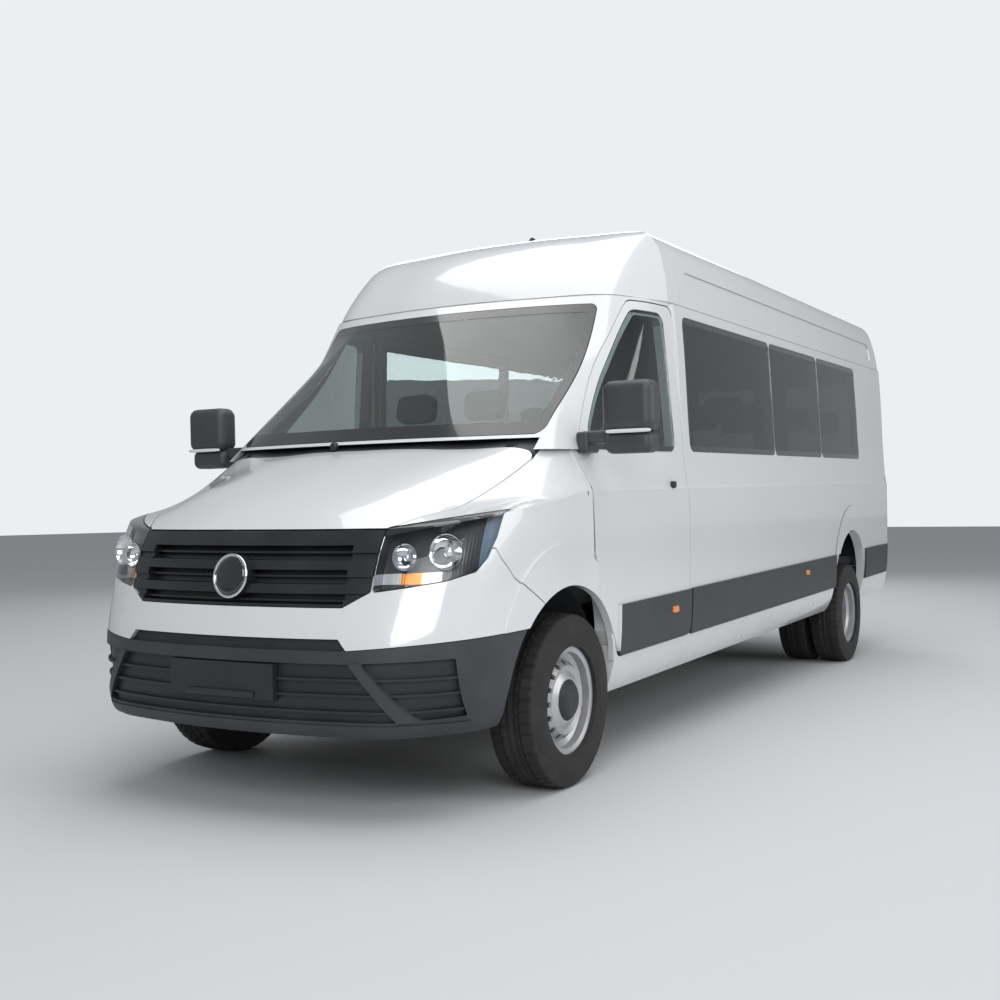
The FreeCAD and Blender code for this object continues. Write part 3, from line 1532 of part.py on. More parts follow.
def front_wheel():
    middle = Vector(front_half_track, wheel_y, tyre_radius)
    at = middle + Vector(rim_width / 2, 0, 0)
    hub = turned([(disc_face, 0), (disc_face, 60), (110, 60), (110, spindle_radius + 0.85),
                  (40, spindle_radius + 0.85), (40, 0)], at)
    brake = turned([(84, 55), (84, 150), (108, 150), (108, 55)], at)
    return rim(at, 1, disc_face).fuse([hub, brake, hub_cover(at, 1, disc_face, 22)])


wheel = front_wheel()
front_rim_left = piece("front_rim_left", biggest(wheel), ground_pose)
front_rim_right = piece("front_rim_right", mirrored(biggest(wheel)), ground_pose)
front_tyre_solid = tyre(Vector(front_half_track, wheel_y, tyre_radius))
front_tyre_left = piece("front_tyre_left", front_tyre_solid, ground_pose)
front_tyre_right = piece("front_tyre_right", mirrored(front_tyre_solid), ground_pose)

# Knuckles with their spindles, and the struts' feet above them

knuckle_body = block(
    (kingpin_half - 75, kingpin_half - 30), (wheel_y - 55, wheel_y + 55), (arm_height + 40, 540)
)
spindle_start = kingpin_half - 40
spindle_end = front_half_track + rim_width / 2 - 41
spindle = Part.makeCylinder(
    spindle_radius, spindle_end - spindle_start, Vector(spindle_start, wheel_y, tyre_radius),
    Vector(1, 0, 0),
)
kingpin = Part.makeCylinder(14, 110, Vector(kingpin_half, wheel_y, tyre_radius - 55))
knuckle = knuckle_body.fuse([spindle, kingpin])
knuckle_left = piece("knuckle_left", biggest(knuckle), ground_pose)
knuckle_right = piece("knuckle_right", mirrored(biggest(knuckle)), ground_pose)

# Twin rear wheels: two rims back to back on one hub, with two tyres

outer_mid = size("twin_outer")
inner_mid = outer_mid - size("twin_spacing")
rear_face = rim_width / 2 + (outer_mid - (outer_mid + inner_mid) / 2) - 10
outer_at = Vector(outer_mid + rim_width / 2, rear_y, tyre_radius)
inner_at = Vector(inner_mid - rim_width / 2, rear_y, tyre_radius)


def dished_profile(face):
    """The disc of a rear wheel: deeply dished to a hub face near the twin's middle."""
    return [
        (face - 10, 34), (face - 10, 96), (face - 26, 122), (face - 40, 140), (104, 168),
        (100, bead - 27), (92, bead - 27), (96, 160), (face - 52, 134), (face - 36, 114),
        (face - 20, 88), (face - 20, 34),
    ]


def rear_rim(at, outward):
    barrel = turned(rim_profile(0), at, outward)
    face = rim_width / 2 + size("twin_spacing") / 2
    disc = turned(
        [(face - 9, 45), (face - 9, 100), (face - 34, 134), (108, 160), (100, bead - 27),
         (90, bead - 27), (97, 154), (face - 44, 128), (face - 19, 94), (face - 19, 45)],
        at, outward,
    )
    holes = []
    for i in range(hole_count):
        angle = 2 * math.pi * i / hole_count
        place = at + Vector(-outward * 200, 146 * math.cos(angle), 146 * math.sin(angle))
        holes.append(Part.makeCylinder(hole_radius, 200, place, Vector(outward, 0, 0)))
    return barrel.fuse(disc.cut(holes))


mid_plane = (outer_mid + inner_mid) / 2
centre = Vector(mid_plane, rear_y, tyre_radius)
hub_bore = spindle_radius + 8.85
rear_hub = turned([(-84, 0), (-84, 52), (-10, 70), (100, 70), (100, hub_bore),
                   (-40, hub_bore), (-40, 0)], centre)
twin = rear_rim(outer_at, 1).fuse([rear_rim(inner_at, -1), rear_hub])
rear_rims_left = piece("rear_rims_left", biggest(twin), ground_pose)
rear_rims_right = piece("rear_rims_right", mirrored(biggest(twin)), ground_pose)
twin_tyres = Part.makeCompound(
    [tyre(Vector(outer_mid, rear_y, tyre_radius)), tyre(Vector(inner_mid, rear_y, tyre_radius))]
)
rear_tyres_left = piece("rear_tyres_left", twin_tyres, ground_pose)
rear_tyres_right = piece("rear_tyres_right", mirrored(twin_tyres), ground_pose)

# Rear axle with its differential and leaf springs, and the propeller shaft

axle_radius = 48
stub = spindle_radius + 8
tube_end = mid_plane - 110
gearbox_end = Vector(0, 1560, 490)
shaft_line = (gearbox_end - rear_centre).normalize()


def axle_beam():
    """Tube and stubs with the swelling of the differential, turned about the axle line."""
    swell = [(205, axle_radius + 2), (165, 84), (110, 128), (52, 148), (0, 153)]
    swell = [(-a, r) for a, r in swell[:-1]] + [(a, r) for a, r in reversed(swell)]
    c = rear_centre
    curve = [Vector(a, c.y, c.z + r) for a, r in swell]
    left = [(205, axle_radius), (tube_end, axle_radius), (tube_end, stub), (mid_plane + 39, stub)]
    left.append((mid_plane + 39, 0))
    run = [Vector(a, c.y, c.z + r) for a, r in left]
    back = [Vector(-a, c.y, c.z + r) for a, r in reversed(left)]
    edges = [spline(curve)]
    chain = [curve[-1]] + run + back + [curve[0]]
    for start, end in zip(chain, chain[1:]):
        edges.append(Part.makeLine(start, end))
    return Part.Face(Part.Wire(edges)).revolve(c, Vector(1, 0, 0), 360)


pinion = Part.makeCylinder(52, 240, rear_centre, shaft_line)
saddle_low = rear_centre.z - 66
spring_saddle = both(
    block(
        (rail_half - 40, rail_half + 40),
        (rear_centre.y - 40, rear_centre.y + 40),
        (saddle_low, rear_centre.z - 30),
    )
)


def leaf_spring():
    """Four leaves bent to one arc with an eye at each end, below the axle."""
    x, y, low = rail_half - spring_half, rear_centre.y, saddle_low - 2 * seat_gap
    thick = 34
    ends = [Vector(x, y + s * spring_reach, eye_z) for s in (-1, 1)]
    under = [Vector(x, p.y, p.z - 12) for p in ends]
    upper = Part.Arc(ends[0], Vector(x, y, low), ends[1]).toShape()
    lower = Part.Arc(under[0], Vector(x, y, low - thick), under[1]).toShape()
    closing = [Part.makeLine(ends[0], under[0]), Part.makeLine(ends[1], under[1])]
    leaf = Part.Face(Part.Wire(Part.__sortEdges__([upper, lower] + closing)))
    leaf = leaf.extrude(Vector(2 * spring_half, 0, 0))
    eyes = [
        Part.makeCylinder(spring_eye, 2 * spring_half, p, Vector(1, 0, 0)) for p in ends
    ]
    return leaf.fuse(eyes)


rear_axle_beam = piece("rear_axle", axle_beam().fuse([pinion, spring_saddle]))
leaf_springs = piece("leaf_springs", both(leaf_spring()))
shaft_start = gearbox_end + shaft_line * -0.3
shaft_length = (gearbox_end - rear_centre).Length - 240 - 0.6
propshaft = piece(
    "propshaft", Part.makeCylinder(38, shaft_length, shaft_start, shaft_line * -1)
)

# Engine and gearbox as one plain block on its two mounts, with the output flange behind

flange = Part.makeCylinder(50, 40, gearbox_end, shaft_line)
engine_block = piece("engine_block", engine_solid.fuse([gearbox, engine_mount, flange]))

# Fuel tank under the floor, and the exhaust from the engine with its silencer on two hangers

fuel_tank = piece("fuel_tank", block((480, 840), (2350, 3250), (345, floor_low)))
pipe_x, pipe_z = -205, 480
exhaust_pipe = Part.makeCylinder(30, 3700, Vector(pipe_x, 930, pipe_z), Vector(0, 1, 0))
silencer = Part.makeCylinder(100, 620, Vector(pipe_x - 45, 3150, pipe_z), Vector(0, 1, 0))
pipe_hangers = [
    block((pipe_x - 55, pipe_x - 35), (y, y + 24), (pipe_z + 80, floor_low)) for y in (3190, 3700)
]
exhaust = piece("exhaust", exhaust_pipe.fuse([silencer] + pipe_hangers))

# Dashboard, steering wheel and seats

bulkhead_rear = 1000
dash_points = [
    (bulkhead_rear, 960),
    (bulkhead_rear, 1300),
    (1070, 1336),
    (1330, 1345),
    (1425, 1250),
    (1400, 1060),
    (1250, 960),
]
wheel_centre = Vector(420, 1490, 1310)
column_axis = Vector(0, 1, 0.9).normalize()
column = Part.makeCylinder(38, 210, wheel_centre - column_axis * 42.3, column_axis * -1)
dashboard = piece("dashboard", side_prism(dash_points, 30, -790, 790).fuse(column))
steer_ring = Part.makeTorus(205, 15, wheel_centre, column_axis)
steer_boss = Part.makeCylinder(60, 50, wheel_centre - column_axis * 42, column_axis)
spokes = Part.makeBox(400, 30, 16, Vector(-200, -15, -8))
spokes.Placement = Placement(wheel_centre, Rotation(Vector(0, 0, 1), column_axis))
steering_wheel = piece("steering_wheel", steer_ring.fuse([steer_boss, spokes]))

seat_foot = floor_top + seat_gap
house_clear = both(
    block(
        (box_inner - 18 - seat_gap, floor_half + 40),
        (rear_arch_y - arch_radius - 40 - seat_gap, rear_arch_y + arch_radius + 40 + seat_gap),
        (0, house_top + seat_gap),
    )
)


def seat(x, y, width):
    """A seat on its box: cushion, box and leaning back in one closed solid."""
    base = block((x - 0.35 * width, x + 0.35 * width), (y - 145, y + 185), (seat_foot, floor_top + 340))
    cushion = rounded_box(Vector(x, y, floor_top + 375), width, 480, 110, 35)
    back_points = [(y + 215, floor_top + 330), (y + 330, floor_top + 330),
                   (y + 430, floor_top + 1060), (y + 340, floor_top + 1060)]
    back = side_prism(back_points, 30, x - width / 2, x + width / 2)
    return cushion.fuse([base.cut(house_clear), back])


cab_seats = piece(
    "cab_seats",
    Part.makeCompound([seat(420, 1880, 500), seat(-170, 1880, 440), seat(-620, 1880, 440)]),
)
rows = 5
seat_width, aisle = size("seat_width"), size("aisle")
first_row = 2600
left_seats = []
right_seats = []
for i in range(rows):
    y = first_row + i * size("seat_pitch")
    left_seats.append(seat(floor_half - 70 - seat_width / 2 - seat_width / 2 - 5, y, 2 * seat_width))
    if i > 0:
        right_seats.append(seat(-floor_half + 75 + seat_width / 2, y, seat_width))
passenger_seats = piece("passenger_seats", Part.makeCompound(left_seats + right_seats))

# The row's origin lies on the ground under the middle of the vehicle's length

parts = [item for item in doc.Objects if item.TypeId == "Part::Feature"]
extents = [made.Shape.optimalBoundingBox(True, False) for made in (bumper_front, bumper_lower, rear_bumper)]
middle = (min(box.YMin for box in extents) + max(box.YMax for box in extents)) / 2
for made in parts:
    made.Placement = Placement(Vector(0, -middle, 0), Rotation()) * made.Placement
print("middle", middle, min(box.YMin for box in extents), max(box.YMax for box in extents))

doc.recompute()
failed = []
for made in doc.Objects:
    if "Invalid" in made.State or "Error" in made.State:
        failed.append(made.Label + " " + str(made.State))
for made in parts:
    shape = made.Shape
    if shape.isNull() or not shape.isValid() or not shape.Solids:
        failed.append(made.Label)
    print(made.Label, len(shape.Solids), round(shape.Volume / 1e6, 1), shape.isValid())
if failed:
    print("FAILED", failed)
os.makedirs("parts", exist_ok=True)
for made in parts:
    made.Shape.exportStep("parts/%s.step" % made.Label)
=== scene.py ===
import math

import bmesh
import bpy
from mathutils import Matrix, Vector
from mathutils.bvhtree import BVHTree


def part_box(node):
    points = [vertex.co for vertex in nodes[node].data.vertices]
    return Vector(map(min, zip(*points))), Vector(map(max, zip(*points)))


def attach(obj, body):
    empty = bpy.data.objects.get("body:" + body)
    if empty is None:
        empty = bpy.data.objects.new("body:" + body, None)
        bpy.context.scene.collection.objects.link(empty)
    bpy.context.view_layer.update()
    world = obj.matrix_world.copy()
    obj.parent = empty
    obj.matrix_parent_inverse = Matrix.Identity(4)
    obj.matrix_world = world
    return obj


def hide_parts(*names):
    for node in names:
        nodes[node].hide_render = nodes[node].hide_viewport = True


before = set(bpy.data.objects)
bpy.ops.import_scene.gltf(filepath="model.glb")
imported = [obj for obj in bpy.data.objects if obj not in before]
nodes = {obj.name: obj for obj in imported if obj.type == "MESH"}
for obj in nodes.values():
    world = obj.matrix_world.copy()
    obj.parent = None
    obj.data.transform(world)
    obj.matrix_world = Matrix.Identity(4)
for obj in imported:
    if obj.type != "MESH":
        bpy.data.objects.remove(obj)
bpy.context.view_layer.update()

# White painted body: pressed steel panels in one gloss white, lined inside with pale felt and
# plastic. The panels are the frame's own solids. The body sits nose down by its rake, so places
# on it are given level, in metres back from the front bumper, and are tilted with it.

rake = math.radians(1.2)
front_overhang = 0.991
wheel_low, wheel_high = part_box("front_tyre_left")
axle_y = (wheel_low.y + wheel_high.y) / 2
tilt_sin, tilt_cos = math.sin(rake), math.cos(rake)


def on_body(x, y, z):
    """A place on the level body, in the frame's own axes."""
    back = y - front_overhang
    return Vector((x, axle_y + back * tilt_cos - z * tilt_sin, back * tilt_sin + z * tilt_cos))


class Wire:
    """One shader socket; sums, products and comparisons of wires add the Math nodes."""

    def __init__(self, finish, socket):
        self.finish = finish
        self.socket = socket

    def math(self, operation, *values):
        inputs = dict(enumerate(values))
        return self.finish.node("ShaderNodeMath", {"operation": operation}, inputs)

    def __add__(self, other):
        return self.math("ADD", self, other)

    __radd__ = __add__

    def __sub__(self, other):
        return self.math("SUBTRACT", self, other)

    def __rsub__(self, other):
        return self.math("SUBTRACT", other, self)

    def __mul__(self, other):
        return self.math("MULTIPLY", self, other)

    __rmul__ = __mul__

    def __truediv__(self, other):
        return self.math("DIVIDE", self, other)

    def __gt__(self, other):
        return self.math("GREATER_THAN", self, other)

    def __lt__(self, other):
        return self.math("LESS_THAN", self, other)

    def __or__(self, other):
        return self.math("MAXIMUM", self, other)

    def __and__(self, other):
        return self.math("MINIMUM", self, other)

    def absolute(self):
        return self.math("ABSOLUTE", self)

    def root(self):
        return self.math("SQRT", self)

    def rising(self, low, high):
        """0 below low, 1 above high and smooth between; falls where low is the larger."""
        span = {"Value": self, "From Min": low, "From Max": high}
        return self.finish.node("ShaderNodeMapRange", {"interpolation_type": "SMOOTHSTEP"}, span)


class Finish:
    """A material built from nodes, whose last shader goes to the surface."""

    def __init__(self, name):
        self.material = bpy.data.materials.new(name)
        self.material.use_nodes = True
        self.tree = self.material.node_tree
        self.tree.nodes.clear()
        self.output = self.tree.nodes.new("ShaderNodeOutputMaterial")

    def node(self, kind, settings=None, inputs=None, output=0):
        made = self.tree.nodes.new(kind)
        for key, value in (settings or {}).items():
            setattr(made, key, value)
        for key, value in (inputs or {}).items():
            if isinstance(value, Wire):
                self.tree.links.new(value.socket, made.inputs[key])
            else:
                made.inputs[key].default_value = value
        return Wire(self, made.outputs[output])

    def place(self):
        return self.node("ShaderNodeTexCoord", output="Object")

    def facing(self):
        return self.node("ShaderNodeTexCoord", output="Normal")

    def vector(self, operation, first, second, output=0):
        settings, inputs = {"operation": operation}, {0: first, 1: second}
        return self.node("ShaderNodeVectorMath", settings, inputs, output)

    def axes(self, vector=None):
        split = self.tree.nodes.new("ShaderNodeSeparateXYZ")
        self.tree.links.new((vector or self.place()).socket, split.inputs[0])
        return [Wire(self, socket) for socket in split.outputs]

    def level(self):
        """Across, back from the bumper and up, on the level body."""
        x, y, z = self.axes()
        back = y - axle_y
        return x, back * tilt_cos + z * tilt_sin + front_overhang, z * tilt_cos - back * tilt_sin

    def noise(self, scale, detail=3.0, stretch=(1.0, 1.0, 1.0)):
        spread = self.vector("MULTIPLY", self.place(), stretch)
        inputs = {"Vector": spread, "Scale": scale, "Detail": detail}
        return self.node("ShaderNodeTexNoise", None, inputs)

    def grain(self, scale, output="Distance"):
        inputs = {"Vector": self.place(), "Scale": scale}
        return self.node("ShaderNodeTexVoronoi", None, inputs, output)

    def waves(self, direction, scale):
        inputs = {"Vector": self.place(), "Scale": scale}
        return self.node("ShaderNodeTexWave", {"bands_direction": direction}, inputs)

    def blend(self, share, first, second):
        """Two colours mixed by a share."""
        inputs = {0: share, 6: first, 7: second}
        return self.node("ShaderNodeMix", {"data_type": "RGBA"}, inputs, 2)

    def bump(self, height, strength, distance):
        inputs = {"Height": height, "Strength": strength, "Distance": distance}
        return self.node("ShaderNodeBump", None, inputs)

    def shader(self, **inputs):
        named = {key.replace("_", " ").title(): value for key, value in inputs.items()}
        if "Ior" in named:
            named["IOR"] = named.pop("Ior")
        if "Specular Ior Level" in named:
            named["Specular IOR Level"] = named.pop("Specular Ior Level")
        return self.node("ShaderNodeBsdfPrincipled", None, named)

    def either(self, share, first, second):
        return self.node("ShaderNodeMixShader", None, {0: share, 1: first, 2: second})

    def show(self, shader):
        self.tree.links.new(shader.socket, self.output.inputs["Surface"])
        return self.material


def dress(material, *names):
    """Gives a frame node the material in every slot."""
    for name in names:
        mesh = nodes[name].data
        mesh.materials.clear()
        mesh.materials.append(material)


white = (0.72, 0.735, 0.745, 1)
lining_grey = (0.30, 0.30, 0.29, 1)
road_dust = (0.36, 0.33, 0.29, 1)
axis_height = 1.35


def lined(finish):
    """1 on faces that look in towards the cabin's middle line, 0 on the outside."""
    flat = finish.vector("MULTIPLY", finish.place(), (1.0, 0.0, 1.0))
    outward = finish.vector("SUBTRACT", flat, (0.0, 0.0, axis_height))
    dot = finish.vector("DOT_PRODUCT", finish.facing(), outward, "Value")
    return dot < -0.03


def body_paint(name, dark=None, lining=True):
    """Gloss white with a lining inside; dark is a mask of what is dark plastic on the panel."""
    finish = Finish(name)
    height = finish.axes()[2]
    wear = finish.noise(2.3, 6.0)
    dust = height.rising(0.75, 0.25) * wear.rising(0.35, 0.75) * 0.20
    tone = finish.blend(wear.rising(0.3, 0.7) * 0.25, white, (0.68, 0.70, 0.72, 1))
    colour = finish.blend(dust, tone, road_dust)
    ripple = finish.bump(finish.noise(55.0, 1.0), 0.012, 0.002)
    outside = finish.shader(
        base_color=colour,
        roughness=dust * 0.8 + 0.22,
        coat_weight=1.0,
        coat_roughness=0.03,
        specular_ior_level=0.5,
        normal=ripple,
    )
    if dark is not None:
        outside = finish.either(dark(finish), outside, plastic_shader(finish))
    if not lining:
        return finish.show(outside)
    felt = finish.bump(finish.noise(420.0, 2.0), 0.15, 0.001)
    inside = finish.shader(base_color=lining_grey, roughness=0.85, normal=felt)
    return finish.show(finish.either(lined(finish), outside, inside))


anthracite = (0.034, 0.037, 0.042, 1)


def plastic_shader(finish, colour=anthracite, roughness=0.5, fine=1400.0):
    """Grained moulded plastic with a little dust in the grain."""
    grain = finish.grain(fine)
    cloud = finish.noise(5.0, 4.0)
    pale = tuple(min(1.0, channel * 1.6 + 0.008) for channel in colour[:3]) + (1,)
    tone = finish.blend(cloud.rising(0.35, 0.8) * 0.5, colour, pale)
    return finish.shader(
        base_color=tone,
        roughness=cloud * 0.12 + (roughness - 0.06),
        normal=finish.bump(grain, 0.22, 0.0004),
    )


def plain_plastic(name, colour=anthracite, roughness=0.5, fine=1400.0):
    finish = Finish(name)
    return finish.show(plastic_shader(finish, colour, roughness, fine))


strip_low, strip_high = 0.484, 0.712
door_strip_front = 1.405


def door_strip(finish):
    """The dark strip along the foot of the front door."""
    x, y, z = finish.level()
    beside = (x.absolute() > 0.965) & (y > door_strip_front)
    return beside & (z > strip_low) & (z < strip_high)


white_panels = body_paint("white_body_paint")
dress(white_panels, "roof", "cab_frame")
dress(body_paint("white_front_paint", lining=False), "bumper_front", "fenders", "bonnet")
dress(white_panels, "side_panel_left", "side_panel_right", "sliding_door")
dress(white_panels, "rear_door_left", "rear_door_right")
dress(body_paint("white_door_paint", door_strip), "front_door_left", "front_door_right")

# Dark mouldings: the lower bumper, side strips, scuttle and rear bumper are moulded in one
# grained anthracite plastic that is left unpainted.

moulding = plain_plastic("grained_moulding")
dress(moulding, "bumper_lower", "side_strips", "rear_bumper", "scuttle", "wheel_liners")
dress(plain_plastic("insert_black", (0.016, 0.017, 0.019, 1), 0.5, 1800.0), "bumper_insert")

# Grille: satin black moulding with broad slats and a little dust in patches.

dress(plain_plastic("grille_black", (0.014, 0.015, 0.017, 1), 0.34, 2200.0), "grille")

# Badge place: a bright ring round a bare domed disc, on the boss of the grille.


def make_piece(name, bm, body, material):
    """Turns a bmesh into a piece that rides on a body."""
    bmesh.ops.recalc_face_normals(bm, faces=bm.faces)
    mesh = bpy.data.meshes.new(name)
    bm.to_mesh(mesh)
    bm.free()
    mesh.materials.append(material)
    mesh.polygons.foreach_set("use_smooth", [True] * len(mesh.polygons))
    made = bpy.data.objects.new(name, mesh)
    bpy.context.scene.collection.objects.link(made)
    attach(made, body)
    return made


def smooth_by_angle(piece, degrees=35):
    """Keeps edges sharper than an angle crisp."""
    bm = bmesh.new()
    bm.from_mesh(piece.data)
    limit = math.radians(degrees)
    for edge in bm.edges:
        if len(edge.link_faces) == 2:
            edge.smooth = edge.calc_face_angle(0.0) < limit
    bm.to_mesh(piece.data)
    bm.free()


def shiny(name, colour, roughness, metallic=0.0, coat=0.0):
    finish = Finish(name)
    cloud = finish.noise(30.0, 3.0)
    return finish.show(
        finish.shader(
            base_color=colour,
            metallic=metallic,
            roughness=cloud * 0.05 + roughness,
            coat_weight=coat,
        )
    )


def skin_rings(bm, rings):
    """Joins each ring of verts to the next with quads."""
    for ring, following in zip(rings, rings[1:]):
        for step in range(len(ring)):
            ahead = (step + 1) % len(ring)
            bm.faces.new((ring[step], ring[ahead], following[ahead], following[step]))


def turned(bm, outline, centre, axis, steps):
    """Turns an outline [(along, radius), ...] about an axis; an end near the axis is closed."""
    spin = Vector(axis).normalized()
    side = spin.orthogonal().normalized()
    other = spin.cross(side)
    rings = []
    for along, radius in outline:
        ring = []
        for step in range(steps):
            angle = 2 * math.pi * step / steps
            out = side * math.cos(angle) + other * math.sin(angle)
            ring.append(bm.verts.new(centre + spin * along + out * radius))
        rings.append(ring)
    skin_rings(bm, rings)
    for end in (0, -1):
        if outline[end][1] < 0.002:
            bm.faces.new(rings[end])


chrome = shiny("bright_chrome", (0.80, 0.81, 0.82, 1), 0.06, metallic=1.0)
gloss_black = shiny("gloss_black", (0.010, 0.010, 0.011, 1), 0.10, coat=1.0)
badge_back, badge_height, badge_lean = 0.066, 0.922, 0.18
badge_centre = on_body(0.0, badge_back, badge_height)
badge_axis = on_body(0.0, badge_back - 1.0, badge_height + badge_lean) - badge_centre
ring_radius, ring_wire = 0.0795, 0.0062
bm = bmesh.new()
wire_outline = []
for step in range(17):
    angle = 2 * math.pi * step / 16
    wire_outline.append((ring_wire * math.sin(angle), ring_radius + ring_wire * math.cos(angle)))
badge_steps = 96
turned(bm, wire_outline, badge_centre, badge_axis, badge_steps)
bmesh.ops.remove_doubles(bm, verts=bm.verts, dist=1e-5)
make_piece("badge_ring", bm, "root", chrome)
bm = bmesh.new()
disc_radius, disc_rise, disc_crown, disc_back = 0.0735, 0.004, 0.007, -0.002
dome = []
for share in (0.01, 0.2, 0.4, 0.6, 0.8, 1.0):
    dome.append((disc_rise + disc_crown * (1 - share * share), disc_radius * share))
foot = [(disc_back, disc_radius), (disc_back, 0.001)]
turned(bm, dome + foot, badge_centre, badge_axis, badge_steps)
make_piece("badge_disc", bm, "root", gloss_black)

# Window glass: laminated and lightly green in the windscreen and front doors, dark in the
# passenger windows, each with a black fired border that hides the bonding.

screen_foot, screen_head = 1.459, 2.094
screen_foot_half, screen_head_half = 0.827, 0.765
glass_low, glass_high = 1.399, 2.083


def glass_material(name, tint, border):
    finish = Finish(name)
    clear = finish.shader(
        base_color=tint, roughness=0.0, transmission_weight=1.0, ior=1.45, coat_weight=0.3
    )
    black = finish.shader(base_color=(0.006, 0.006, 0.007, 1), roughness=0.12, coat_weight=1.0)
    return finish.show(finish.either(border(finish), clear, black))


def screen_border(finish):
    x, y, z = finish.level()
    share = (z - screen_foot) / (screen_head - screen_foot)
    half = screen_foot_half + share * (screen_head_half - screen_foot_half)
    edge = half - x.absolute()
    return (z < screen_foot + 0.055) | (z > screen_head - 0.04) | (edge < 0.028)


def band_border(margin):
    def border(finish):
        x, y, z = finish.level()
        return (z < glass_low + margin) | (z > glass_high - margin)

    return border


clear_tint = (0.80, 0.88, 0.85, 1)
dark_tint = (0.24, 0.27, 0.28, 1)
dress(glass_material("windscreen_glass", clear_tint, screen_border), "windscreen")
door_glass = glass_material("door_glass", (0.66, 0.74, 0.72, 1), band_border(0.02))
dress(door_glass, "front_door_glass_left", "front_door_glass_right")
dark_glass = glass_material("tinted_glass", dark_tint, band_border(0.03))
dress(dark_glass, "side_windows", "rear_door_glass_left", "rear_door_glass_right")

# Chassis: rails, subframe, axle, springs, propshaft and steering knuckles are black waxed steel,
# dull with road dust towards the ground.


def waxed_steel(name):
    finish = Finish(name)
    cloud = finish.noise(9.0, 5.0)
    height = finish.axes()[2]
    dust = height.rising(0.7, 0.1) * cloud.rising(0.3, 0.7) * 0.5
    colour = finish.blend(dust, (0.018, 0.018, 0.019, 1), (0.10, 0.085, 0.07, 1))
    pitted = finish.bump(finish.noise(160.0, 4.0), 0.2, 0.001)
    return finish.show(
        finish.shader(base_color=colour, roughness=cloud * 0.3 + 0.42, metallic=0.1, normal=pitted)
    )


chassis_black = waxed_steel("waxed_chassis_steel")
for name in ("chassis_rails", "front_subframe", "rear_axle", "leaf_springs", "propshaft"):
    dress(chassis_black, name)
dress(chassis_black, "front_carrier", "knuckle_left", "knuckle_right")

# Floor pan: plywood and steel under a grey studded covering inside, sealed black below.


def floor_finish():
    finish = Finish("floor_covering")
    up = finish.axes(finish.facing())[2]
    studs = finish.grain(42.0).rising(0.35, 0.22)
    top = finish.shader(
        base_color=finish.blend(studs * 0.4, (0.07, 0.072, 0.075, 1), (0.12, 0.12, 0.125, 1)),
        roughness=0.6,
        normal=finish.bump(studs, 0.5, 0.002),
    )
    under = finish.shader(
        base_color=(0.02, 0.02, 0.021, 1),
        roughness=0.75,
        normal=finish.bump(finish.noise(90.0, 4.0), 0.4, 0.002),
    )
    return finish.show(finish.either(up > 0.5, under, top))


dress(floor_finish(), "floor_pan")

# Engine and gearbox: grey cast iron, dull and a little oily. The radiator is fine aluminium fins.


def cast_iron():
    finish = Finish("cast_iron_block")
    cloud = finish.noise(14.0, 5.0)
    colour = finish.blend(cloud.rising(0.4, 0.7), (0.10, 0.10, 0.10, 1), (0.16, 0.15, 0.14, 1))
    rough = cloud * 0.3 + 0.4
    cast_skin = finish.bump(finish.noise(220.0, 4.0), 0.3, 0.001)
    return finish.show(
        finish.shader(base_color=colour, metallic=0.6, roughness=rough, normal=cast_skin)
    )


def radiator_fins():
    finish = Finish("radiator_fins")
    fins = finish.waves("X", 90.0)
    tubes = finish.waves("Z", 26.0)
    relief = finish.bump(tubes * fins, 0.6, 0.003)
    # The dark between the fin and tube bands is painted shade in the gaps of the core.
    colour = finish.blend(tubes * fins, (0.02, 0.02, 0.02, 1), (0.16, 0.165, 0.17, 1))
    return finish.show(
        finish.shader(base_color=colour, metallic=0.7, roughness=0.5, normal=relief)
    )


dress(cast_iron(), "engine_block")
dress(radiator_fins(), "radiator")

# Fuel tank: black blow-moulded plastic. Exhaust: plain steel gone brown in patches.

dress(plain_plastic("tank_plastic", (0.02, 0.02, 0.02, 1), 0.5, 600.0), "fuel_tank")


def exhaust_steel():
    finish = Finish("exhaust_steel")
    heat = finish.noise(6.0, 5.0)
    colour = finish.blend(heat.rising(0.4, 0.65), (0.30, 0.28, 0.26, 1), (0.17, 0.11, 0.07, 1))
    return finish.show(
        finish.shader(
            base_color=colour,
            metallic=0.85,
            roughness=heat * 0.4 + 0.25,
            normal=finish.bump(finish.noise(120.0, 3.0), 0.15, 0.001),
        )
    )


dress(exhaust_steel(), "exhaust")

# Rims: pressed steel in silver lacquer. The front hubs carry a domed black cover; the rear hubs
# are painted dark in the middle of their deep dish as painted shade.


def rim_finish(name, axle, hub_cover_and_shade_radius):
    finish = Finish(name)
    x, y, z = finish.axes()
    back = y - axle.y
    up = z - axle.z
    radius = (back * back + up * up).root()
    cloud = finish.noise(7.0, 5.0)
    dust = cloud.rising(0.35, 0.75) * 0.35
    silver = finish.shader(
        base_color=finish.blend(dust, (0.56, 0.57, 0.585, 1), (0.33, 0.31, 0.29, 1)),
        metallic=0.75,
        roughness=cloud * 0.22 + 0.24,
        coat_weight=0.35,
        coat_roughness=0.1,
        normal=finish.bump(finish.noise(240.0, 2.0), 0.05, 0.0005),
    )
    # The dark disc inside this radius is the front hubs' real black cover, and painted shade in the
    # rear rims' deep dish.
    hub_cover_and_shade = plastic_shader(finish, (0.016, 0.017, 0.019, 1), 0.42, 1600.0)
    return finish.show(finish.either(radius < hub_cover_and_shade_radius, silver, hub_cover_and_shade))


def middle(node):
    low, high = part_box(node)
    return (low + high) / 2


for side in ("left", "right"):
    front_axle = middle("front_rim_" + side)
    rear_axle = middle("rear_rims_" + side)
    dress(rim_finish("front_rim_silver_" + side, front_axle, 0.085), "front_rim_" + side)
    # The rear rims' dark middle is painted shade.
    dress(rim_finish("rear_rim_silver_" + side, rear_axle, 0.075), "rear_rims_" + side)
